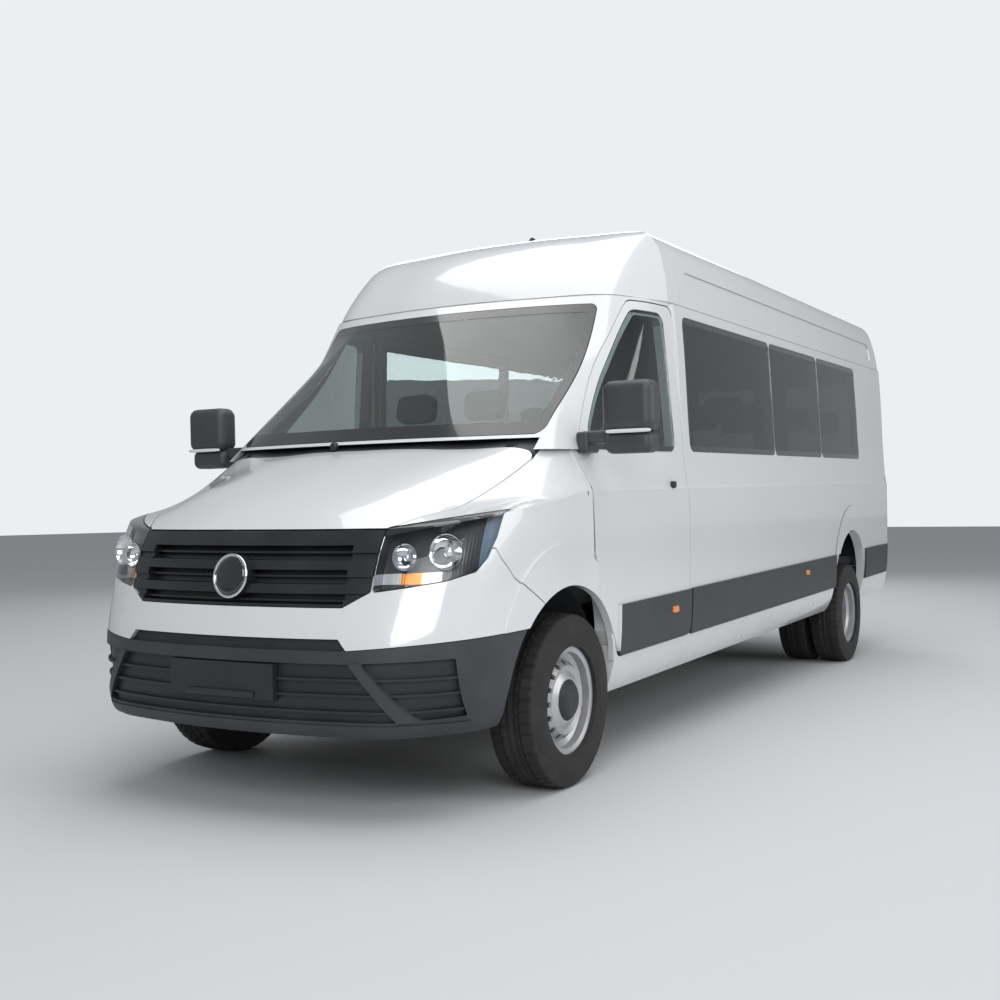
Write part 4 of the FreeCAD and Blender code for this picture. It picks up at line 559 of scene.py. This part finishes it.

# Tyres: 205 mm wide, with four grooves round the tread, blocks cut across it and plain walls.
# Each one takes the place of the frame's plain ring.


tyre_radius = (wheel_high.z - wheel_low.z) / 2
tyre_half = (wheel_high.x - wheel_low.x) / 2 - 0.001
bead_radius = 0.204
tread_half = 0.8 * tyre_half
spokes_round = 240
pitch = 5
groove_depth = 0.0075
grooves = (-0.52, -0.18, 0.18, 0.52)


def tyre_rubber():
    finish = Finish("tyre_rubber")
    cloud = finish.noise(12.0, 5.0)
    dust = cloud.rising(0.4, 0.75) * 0.35
    colour = finish.blend(dust, (0.014, 0.014, 0.0145, 1), (0.055, 0.05, 0.045, 1))
    return finish.show(
        finish.shader(
            base_color=colour,
            roughness=cloud * 0.2 + 0.62,
            normal=finish.bump(finish.noise(500.0, 2.0), 0.15, 0.0005),
        )
    )


rubber = tyre_rubber()


def tyre_outline():
    """Half outline of wall and tread, as (across, radius, kind), from bead to tread's middle."""
    wall = [(0.070, bead_radius), (0.0775, bead_radius + 0.006), (0.079, bead_radius + 0.016)]
    for share in (0.12, 0.2, 0.28, 0.36, 0.44, 0.52, 0.6, 0.68, 0.76, 0.84, 0.91):
        radius = bead_radius + share * (tyre_radius - bead_radius)
        belly = math.sin(math.pi * min(1.0, 0.12 + 0.88 * share) ** 0.9)
        across = 0.084 + (tyre_half - 0.084) * max(0.0, belly) ** 0.6
        across = max(across, tread_half + 0.012) if share > 0.7 else across
        wall.append((min(across, tyre_half), radius))
    rows = [(across, radius, "wall") for across, radius in wall]
    rows.append((tread_half + 0.010, tyre_radius - 0.009, "shoulder"))
    rows.append((tread_half + 0.004, tyre_radius - 0.0055, "shoulder"))
    for share in (1.0, 0.78, 0.56, 0.545, 0.495, 0.48, 0.35, 0.205, 0.19, 0.17, 0.155):
        rows.append((share * tread_half, tyre_radius - 0.005 * share**2, "tread"))
    rows.append((0.0, tyre_radius, "tread"))
    return rows


def add_tyre(bm, centre):
    half_rows = tyre_outline()
    rows = half_rows + [(-a, r, kind) for a, r, kind in reversed(half_rows[:-1])]
    rings = []
    for step in range(spokes_round):
        angle = 2 * math.pi * step / spokes_round
        ring = []
        for across, radius, kind in rows:
            share = across / tread_half
            depth = 0.0
            phase = step % pitch
            if kind == "tread":
                in_groove = any(abs(share - g) < 0.03 for g in grooves)
                slot_here = phase == 0 if abs(share) > 0.53 else phase == 2 and abs(share) > 0.2
                slot_here = slot_here or (abs(share) <= 0.2 and step % 2 == 0)
                depth = groove_depth if in_groove else (0.006 if slot_here else 0.0)
                if abs(share) <= 0.2 and not in_groove and slot_here:
                    depth = 0.002
            elif kind == "shoulder" and phase == 0:
                depth = 0.006
            local = radius - depth
            spot = Vector((across, local * math.cos(angle), local * math.sin(angle)))
            ring.append(bm.verts.new(centre + spot))
        rings.append(ring)
    for step in range(spokes_round):
        here, ahead = rings[step], rings[(step + 1) % spokes_round]
        for i in range(len(rows) - 1):
            bm.faces.new((here[i], here[i + 1], ahead[i + 1], ahead[i]))
        bm.faces.new((here[-1], here[0], ahead[0], ahead[-1]))


wheel_bodies = {
    "front_tyre_left": "front_wheel_left",
    "front_tyre_right": "front_wheel_right",
    "rear_tyres_left": "rear_wheels_left",
    "rear_tyres_right": "rear_wheels_right",
}
for node, body in wheel_bodies.items():
    low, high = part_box(node)
    centre = (low + high) / 2
    reach = (high.x - low.x) / 2 - tyre_half - 0.001
    places = [0.0] if node.startswith("front") else [-reach, reach]
    bm = bmesh.new()
    for shift in places:
        add_tyre(bm, centre + Vector((shift, 0, 0)))
    tread = make_piece("treaded_" + node, bm, body, rubber)
    smooth_by_angle(tread, 30)
    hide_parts(node)

# Mirrors: a tall grey-black housing over a small wide-angle one, on a triangular black foot, with
# a clear indicator strip between them and glass at the back.

mirror_plastic = plain_plastic("mirror_plastic", (0.045, 0.048, 0.053, 1), 0.42, 1500.0)
dress(mirror_plastic, "mirror_left", "mirror_right")
mirror_silver = shiny("mirror_silver", (0.86, 0.88, 0.89, 1), 0.02, metallic=1.0)
indicator_lens = shiny("indicator_lens", (0.78, 0.79, 0.80, 1), 0.10, coat=1.0)


def rounded(bm, centre, half, power=5.0, cells=12, pull=0.0, crown=0.0):
    """A closed form between box and ellipsoid; crown swells its top, pull draws its sides in."""
    known = set(bm.verts)
    made = bmesh.ops.create_cube(bm, size=2.0)["verts"]
    edges = list({edge for vert in made for edge in vert.link_edges})
    bmesh.ops.subdivide_edges(bm, edges=edges, cuts=cells - 1, use_grid_fill=True)
    verts = [vert for vert in bm.verts if vert not in known]
    for vert in verts:
        x, y, z = vert.co
        size = (abs(x) ** power + abs(y) ** power + abs(z) ** power) ** (1.0 / power)
        x, y, z = x / size, y / size, z / size
        swell = (1.0 - x * x) * (1.0 - y * y)
        z += crown * swell if z > 0 else 0.0
        x *= 1.0 - pull * (1.0 - y * y)
        y *= 1.0 - pull * (1.0 - x * x)
        vert.co = centre + Vector((x * half[0], y * half[1], z * half[2]))
    return verts


mirror_panes = [
    ((1.168, 1.278, 1.563), (0.098, 0.0035, 0.090)),
    ((1.164, 1.279, 1.412), (0.088, 0.0035, 0.034)),
]
indicator_place = (1.176, 1.160, 1.458)
for side, sign in (("left", 1), ("right", -1)):
    body = "front_door_" + side
    bm = bmesh.new()
    for (x, y, z), half in mirror_panes:
        rounded(bm, on_body(sign * x, y, z), half, 6.0)
    make_piece("mirror_glass_" + side, bm, body, mirror_silver)
    bm = bmesh.new()
    x, y, z = indicator_place
    rounded(bm, on_body(sign * x, y, z), (0.100, 0.014, 0.0085), 5.0)
    make_piece("mirror_indicator_" + side, bm, body, indicator_lens)

# Tail lamps: red over amber and clear, upright at the rear corners.


def tail_lens():
    finish = Finish("tail_lens")
    x, y, z = finish.level()
    relief = finish.bump(finish.waves("Z", 40.0), 0.25, 0.001)
    amber_zone = (z > 1.04) & (z < 1.12)
    clear_zone = (z > 0.93) & (z < 1.03)
    colour = finish.blend(clear_zone, (0.45, 0.012, 0.01, 1), (0.6, 0.6, 0.6, 1))
    colour = finish.blend(amber_zone, colour, (0.75, 0.22, 0.02, 1))
    return finish.show(
        finish.shader(base_color=colour, roughness=0.12, coat_weight=1.0, normal=relief)
    )


dress(tail_lens(), "tail_lamps")

# Headlamps: a clear lens over a dark bowl, with two bright reflectors, an amber strip and a bowed
# divider. Lens and bowl are drawn from the frame's own lamp bodies, whose place they take.

lens_thick, bowl_depth = 0.003, 0.052


def outer_skin(mesh):
    """The faces of the lamp bodies that lie in the vehicle's skin, as a new bmesh."""
    bm = bmesh.new()
    bm.from_mesh(mesh)
    bmesh.ops.remove_doubles(bm, verts=bm.verts, dist=2e-5)
    bm.normal_update()
    inner = [face for face in bm.faces if face.normal.y > -0.06]
    bmesh.ops.delete(bm, geom=inner, context="FACES")
    bmesh.ops.subdivide_edges(bm, edges=list(bm.edges), cuts=1, use_grid_fill=True)
    bm.normal_update()
    return bm


def moved_in(bm, depth):
    """Gives the open skin an inner side, set back by a depth."""
    grown = bmesh.ops.extrude_face_region(bm, geom=list(bm.faces), use_keep_orig=True)
    for item in grown["geom"]:
        if isinstance(item, bmesh.types.BMVert):
            item.co.y += depth


def lamp_lens_finish():
    finish = Finish("lamp_lens")
    x, y, z = finish.level()
    edge = finish.noise(20.0, 2.0)
    clear = finish.shader(
        base_color=(0.97, 0.98, 0.99, 1), roughness=0.01, transmission_weight=1.0, ior=1.25
    )
    bezel = finish.shader(
        base_color=(0.01, 0.011, 0.013, 1), roughness=edge * 0.04 + 0.08, coat_weight=1.0
    )
    across = x.absolute()
    brow = z > 1.062 + (across - 0.60) * 0.19
    return finish.show(finish.either(brow, clear, bezel))


def lamp_bowl_finish():
    finish = Finish("lamp_bowl")
    x, y, z = finish.level()
    across = x.absolute()
    strip = (z > 0.888) & (z < 0.926 + (across - 0.6) * 0.02)
    amber = strip & (across > 0.672) & (across < 0.742)
    pale = strip & (across > 0.600) & (across < 0.806)
    # The outer corner of the bowl is coloured blue-grey as a painted reflection.
    painted_reflection_corner = across > 0.905
    colour = finish.blend(pale, (0.045, 0.048, 0.053, 1), (0.62, 0.64, 0.66, 1))
    colour = finish.blend(amber, colour, (0.85, 0.28, 0.03, 1))
    colour = finish.blend(painted_reflection_corner, colour, (0.20, 0.28, 0.38, 1))
    ribs = finish.waves("X", 34.0)
    return finish.show(
        finish.shader(
            base_color=colour,
            metallic=pale * 0.5,
            roughness=0.22,
            normal=finish.bump(ribs, 0.25, 0.001),
        )
    )


lamp_mesh = nodes["headlights"].data
bm = outer_skin(lamp_mesh)
moved_in(bm, lens_thick)
lens = make_piece("headlamp_lenses", bm, "root", lamp_lens_finish())
smooth_by_angle(lens, 40)
bm = outer_skin(lamp_mesh)
for vert in bm.verts:
    vert.co.y += lens_thick + 0.001
rim = list(bm.faces)
moved_in(bm, bowl_depth)
bmesh.ops.delete(bm, geom=rim, context="FACES_ONLY")
bowl = make_piece("headlamp_bowls", bm, "root", lamp_bowl_finish())
smooth_by_angle(bowl, 40)
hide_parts("headlights")
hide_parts("headlights")

skin_trees = {}


def skin_point(node, start, direction):
    """Where a line first meets a node's mesh, with the outward normal there."""
    if node not in skin_trees:
        mesh = nodes[node].data
        corners = [vert.co.copy() for vert in mesh.vertices]
        faces = [tuple(face.vertices) for face in mesh.polygons]
        skin_trees[node] = BVHTree.FromPolygons(corners, faces)
    place, normal, face, distance = skin_trees[node].ray_cast(start, direction)
    return place, normal


reflector_mirror = shiny("reflector_mirror", (0.80, 0.82, 0.84, 1), 0.05, metallic=1.0)
reflectors = [(0.694, 1.000, 0.050), (0.826, 1.018, 0.066)]
backwards, downwards = Vector((0, 1, 0)), Vector((0, 0, -1))
for side, sign in (("left", 1), ("right", -1)):
    bm = bmesh.new()
    for x, z, radius in reflectors:
        place, normal = skin_point("headlights", on_body(sign * x, -0.3, z), backwards)
        facing = (normal * 0.35 + Vector((0.0, -1.0, 0.0))).normalized()
        centre = place - facing * 0.012
        outline = [(0.0, radius), (-0.001, radius - 0.003), (-0.014, 0.86 * radius)]
        outline += [(-0.030, 0.62 * radius), (-0.038, 0.34 * radius), (-0.039, 0.30 * radius)]
        outline += [(-0.018, 0.27 * radius), (-0.012, 0.16 * radius), (-0.010, 0.001)]
        turned(bm, outline, centre, facing, 64)
    name = "headlamp_reflectors_" + side
    reflector = make_piece(name, bm, "root", reflector_mirror)
    smooth_by_angle(reflector, 40)

# Small fittings on the skin: door handles in their plates, amber side markers, the aerial on the
# roof, wiper arms on the screen and a blank number plate.


handle_black = plain_plastic("handle_plastic", (0.02, 0.021, 0.023, 1), 0.38, 1700.0)
marker_amber = shiny("marker_amber", (0.80, 0.24, 0.02, 1), 0.12, coat=1.0)
handles = [
    ("front_door_left", "front_door_left", 1, 1.97),
    ("front_door_right", "front_door_right", -1, 1.97),
    ("sliding_door", "root", -1, 2.36),
]
handle_height, beside = 1.228, 1.4
for node, body, sign, back in handles:
    start = on_body(sign * beside, back, handle_height)
    place, normal = skin_point(node, start, Vector((-sign, 0, 0)))
    bm = bmesh.new()
    rounded(bm, place + Vector((sign * 0.002, 0, 0)), (0.006, 0.112, 0.038), 6.0)
    rounded(bm, place + Vector((sign * 0.014, 0, 0.006)), (0.009, 0.094, 0.014), 4.0)
    rounded(bm, place + Vector((sign * 0.009, 0.078, 0.006)), (0.012, 0.018, 0.017), 4.0)
    make_piece("handle_" + node, bm, body, handle_black)
for side, sign in (("left", 1), ("right", -1)):
    for label, node, body, back, height in (
        ("front", "front_door_" + side, "front_door_" + side, 2.025, 0.631),
        ("rear", "side_strips", "root", 4.304, 0.644),
    ):
        start = on_body(sign * beside, back, height)
        place, normal = skin_point(node, start, Vector((-sign, 0, 0)))
        bm = bmesh.new()
        rounded(bm, place + Vector((sign * 0.001, 0, 0)), (0.007, 0.036, 0.016), 6.0)
        make_piece("side_marker_%s_%s" % (label, side), bm, body, marker_amber)

aerial_back, mast_rake = 2.52, 0.55
place, normal = skin_point("roof", on_body(0.0, aerial_back, 3.2), downwards)
bm = bmesh.new()
rounded(bm, place + Vector((0, 0, 0.004)), (0.024, 0.060, 0.010), 3.0)
mast = rounded(bm, place + Vector((0, 0, 0.030)), (0.006, 0.034, 0.034), 3.0)
for vert in mast:
    vert.co.y += (vert.co.z - place.z) * mast_rake
make_piece("roof_aerial", bm, "root", gloss_black)


def tube(bm, points, radius, steps=10):
    """A round bar through points."""
    rings = []
    for i, point in enumerate(points):
        ahead = points[min(i + 1, len(points) - 1)] - points[max(i - 1, 0)]
        side = ahead.cross(Vector((0, 0, 1)))
        if side.length < 1e-6:
            side = ahead.orthogonal()
        side.normalize()
        other = side.cross(ahead).normalized()
        ring = []
        for step in range(steps):
            angle = 2 * math.pi * step / steps
            out = side * math.cos(angle) + other * math.sin(angle)
            ring.append(bm.verts.new(point + out * radius))
        rings.append(ring)
    skin_rings(bm, rings)
    bm.faces.new(list(reversed(rings[0])))
    bm.faces.new(rings[-1])


def on_screen(x, z):
    """A place just proud of the windscreen."""
    place, normal = skin_point("windscreen", on_body(x, 0.2, z), backwards)
    return place + normal.normalized() * blade_clear


blade_clear, blade_radius, arm_radius = 0.014, 0.006, 0.008
blade_foot, blade_rise = 1.502, 0.024
arm_bow, arm_seat = Vector((0, -0.012, 0.006)), Vector((0, -0.008, 0.004))
bm = bmesh.new()
for foot, tip in ((0.46, -0.16), (-0.16, -0.72)):
    blade = []
    for share in (0, 0.33, 0.66, 1):
        across = foot - 0.05 + (tip - foot + 0.02) * share
        blade.append(on_screen(across, blade_foot + blade_rise * share))
    tube(bm, blade, blade_radius)
    pivot = on_screen(foot, 1.50) + Vector((0, -0.034, -0.060))
    tube(bm, [pivot, (pivot + blade[1]) / 2 + arm_bow, blade[1] + arm_seat], arm_radius)
    rounded(bm, pivot, (0.018, 0.018, 0.020), 3.0)
wipers = make_piece("wiper_arms", bm, "root", handle_black)
smooth_by_angle(wipers, 50)

plate_dark = shiny("plate_blank", (0.022, 0.023, 0.026, 1), 0.22)
plate_half, plate_height, ledge_height = 0.165, 0.540, 0.490
bm = bmesh.new()
rounded(bm, on_body(0.0, -0.004, plate_height), (plate_half, 0.0035, 0.062), 14.0)
rounded(bm, on_body(0.0, -0.006, ledge_height), (plate_half, 0.0050, 0.012), 8.0)
make_piece("blank_plate", bm, "root", plate_dark)

# Cabin: grained dark dashboard and a leather-look steering wheel.

dress(plain_plastic("dashboard_plastic", (0.035, 0.036, 0.04, 1), 0.6, 900.0), "dashboard")
dress(plain_plastic("steering_wheel_cover", (0.02, 0.02, 0.022, 1), 0.5, 700.0), "steering_wheel")

# Seats: a crowned cushion, a leaning back and a head restraint on a box, one set for each person.
# They take the place of the frame's plain seats, on the same places.


def seat_cloth():
    finish = Finish("seat_cloth")
    weave = finish.waves("DIAGONAL", 160.0)
    tone = finish.noise(8.0, 3.0)
    share = weave * 0.5 + tone * 0.3
    colour = finish.blend(share, (0.035, 0.037, 0.042, 1), (0.10, 0.105, 0.115, 1))
    woven = finish.bump(weave, 0.3, 0.001)
    return finish.show(
        finish.shader(base_color=colour, roughness=0.9, sheen_weight=0.3, normal=woven)
    )


def islands(mesh):
    """The boxes of a mesh's separate solids, as (low, high) corners."""
    bm = bmesh.new()
    bm.from_mesh(mesh)
    bmesh.ops.remove_doubles(bm, verts=bm.verts, dist=2e-5)
    waiting, boxes = set(bm.verts), []
    while waiting:
        seen, front = set(), [waiting.pop()]
        while front:
            vert = front.pop()
            seen.add(vert)
            for edge in vert.link_edges:
                other = edge.other_vert(vert)
                if other in waiting:
                    waiting.discard(other)
                    front.append(other)
        low = Vector([min(vert.co[axis] for vert in seen) for axis in range(3)])
        high = Vector([max(vert.co[axis] for vert in seen) for axis in range(3)])
        boxes.append((low, high))
    bm.free()
    return sorted(boxes, key=lambda box: (round(box[0].y, 2), round(box[0].x, 2)))


cloth = seat_cloth()
seat_grey = plain_plastic("seat_box_plastic", (0.05, 0.052, 0.056, 1), 0.55, 1100.0)
cushion_half = (0.242, 0.056)
back_lean = math.atan2(0.100, 0.730)
welt_at, welt_depth = 0.62, 0.007


def welted(verts, centre, half_width, axis):
    """Draws two sewn channels into a pad, along its length, on the side that axis points to."""
    for vert in verts:
        offset = vert.co - centre
        share = abs(offset.x) / half_width
        near = max(0.0, 1.0 - abs(share - welt_at) / 0.09)
        if offset.dot(axis) > 0:
            vert.co -= axis * welt_depth * near


seat_height, cushion_reach = 1.060, 0.240
pad_rise, box_rise = 0.372, 0.335
back_behind, back_rise, rest_rise = 0.322, 0.640, 1.000
seat_number = 0
box_bm = bmesh.new()
for node in ("cab_seats", "passenger_seats"):
    seat_pieces = []
    for low, high in islands(nodes[node].data):
        wide = high.x - low.x
        count = 2 if wide > 0.7 else 1
        half = wide / count / 2 - 0.004
        floor_level = high.z - seat_height
        middle_y = low.y + cushion_reach
        for part in range(count):
            seat_number += 1
            x = low.x + wide * (part + 0.5) / count
            bm = bmesh.new()
            centre = Vector((x, middle_y, floor_level + pad_rise))
            pad = rounded(bm, centre, (half, *cushion_half), 5.0, 16, 0.03, 0.22)
            welted(pad, centre, half, Vector((0, 0, 1)))
            name = "seat_cushion_%02d" % seat_number
            cushion = make_piece(name, bm, "root", cloth)
            bm = bmesh.new()
            middle_back = Vector((x, middle_y + back_behind, floor_level + back_rise))
            pad = rounded(bm, middle_back, (half, 0.058, 0.300), 5.0, 16, 0.03, 0.0)
            welted(pad, middle_back, half, Vector((0, -1, 0)))
            rest = Vector((x, middle_y + back_behind, floor_level + rest_rise))
            rounded(bm, rest, (0.125, 0.046, 0.082), 4.0, 12)
            turn = Matrix.Rotation(-back_lean, 3, "X")
            for vert in bm.verts:
                vert.co = middle_back + turn @ (vert.co - middle_back)
            name = "seat_back_%02d" % seat_number
            back = make_piece(name, bm, "root", cloth)
            seat_pieces += [cushion, back]
            box_top = floor_level + box_rise
            foot = Vector((x, middle_y + 0.02, (low.z + box_top) / 2))
            rounded(box_bm, foot, (0.7 * half, 0.165, (box_top - low.z) / 2), 12.0)
    for piece in seat_pieces:
        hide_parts(node)
make_piece("seat_boxes", box_bm, "root", seat_grey)

# Studio: a plain pale floor under soft lamps, seen from where the photograph was taken.

floor_mesh = bpy.data.meshes.new("studio_floor")
reach = 60.0
corners = [(-reach, -reach, 0), (reach, -reach, 0), (reach, reach, 0), (-reach, reach, 0)]
floor_mesh.from_pydata(corners, [], [(0, 1, 2, 3)])
floor = bpy.data.objects.new("studio_floor", floor_mesh)
bpy.context.scene.collection.objects.link(floor)


def pale_floor():
    finish = Finish("pale_floor")
    diffuse = finish.shader(base_color=(0.62, 0.63, 0.64, 1), roughness=0.9, specular_ior_level=0.1)
    return finish.show(diffuse)


floor_mesh.materials.append(pale_floor())

world = bpy.data.worlds.new("studio_world")
world.use_nodes = True
bpy.context.scene.world = world
tree = world.node_tree
tree.nodes.clear()
output = tree.nodes.new("ShaderNodeOutputWorld")
around = tree.nodes.new("ShaderNodeBackground")
around.inputs["Color"].default_value = (0.80, 0.83, 0.86, 1)
around.inputs["Strength"].default_value = 0.42
seen = tree.nodes.new("ShaderNodeBackground")
seen.inputs["Color"].default_value = (0.84, 0.86, 0.88, 1)
seen.inputs["Strength"].default_value = 1.0
path = tree.nodes.new("ShaderNodeLightPath")
pick = tree.nodes.new("ShaderNodeMixShader")
tree.links.new(path.outputs["Is Camera Ray"], pick.inputs[0])
tree.links.new(around.outputs[0], pick.inputs[1])
tree.links.new(seen.outputs[0], pick.inputs[2])
tree.links.new(pick.outputs[0], output.inputs[0])


def soft_lamp(name, place, aim, width, height, power):
    lamp = bpy.data.lights.new(name, "AREA")
    lamp.shape = "RECTANGLE"
    lamp.size, lamp.size_y, lamp.energy = width, height, power
    made = bpy.data.objects.new(name, lamp)
    bpy.context.scene.collection.objects.link(made)
    made.location = place
    made.rotation_euler = (Vector(aim) - Vector(place)).to_track_quat("-Z", "Y").to_euler()


soft_lamp("overhead_panel", (1.0, -1.0, 8.0), (0, 0, 1.0), 7.0, 11.0, 430)
soft_lamp("front_panel", (4.5, -9.5, 4.5), (0.2, -2.5, 1.0), 5.0, 4.0, 300)
soft_lamp("side_panel", (9.0, 1.0, 3.5), (0.5, 0.5, 1.2), 9.0, 4.0, 230)
soft_lamp("rear_panel", (-5.0, 9.0, 5.0), (0, 2.0, 1.2), 6.0, 4.0, 260)

camera_data = bpy.data.cameras.new("camera")
camera = bpy.data.objects.new("camera", camera_data)
bpy.context.scene.collection.objects.link(camera)
bpy.context.scene.camera = camera
focal_pixels, picture_pixels = 1197.0, 1000.0
camera_data.sensor_width = 36.0
camera_data.lens = focal_pixels / picture_pixels * camera_data.sensor_width
camera_data.shift_x = -0.03
camera_data.clip_end = 200.0
look = Vector((-0.48365, 0.87522, 0.00871)).normalized()
right = Vector((0.87514, 0.48372, -0.01227)).normalized()
up = right.cross(look).normalized()
axes = Matrix((right, up, -look)).transposed()
bumper_y = axle_y - front_overhang
eye = Vector((3.2068, bumper_y - 3.3898, 1.1373))
camera.matrix_world = Matrix.Translation(eye) @ axes.to_4x4()

bpy.context.scene.view_settings.view_transform = "Standard"
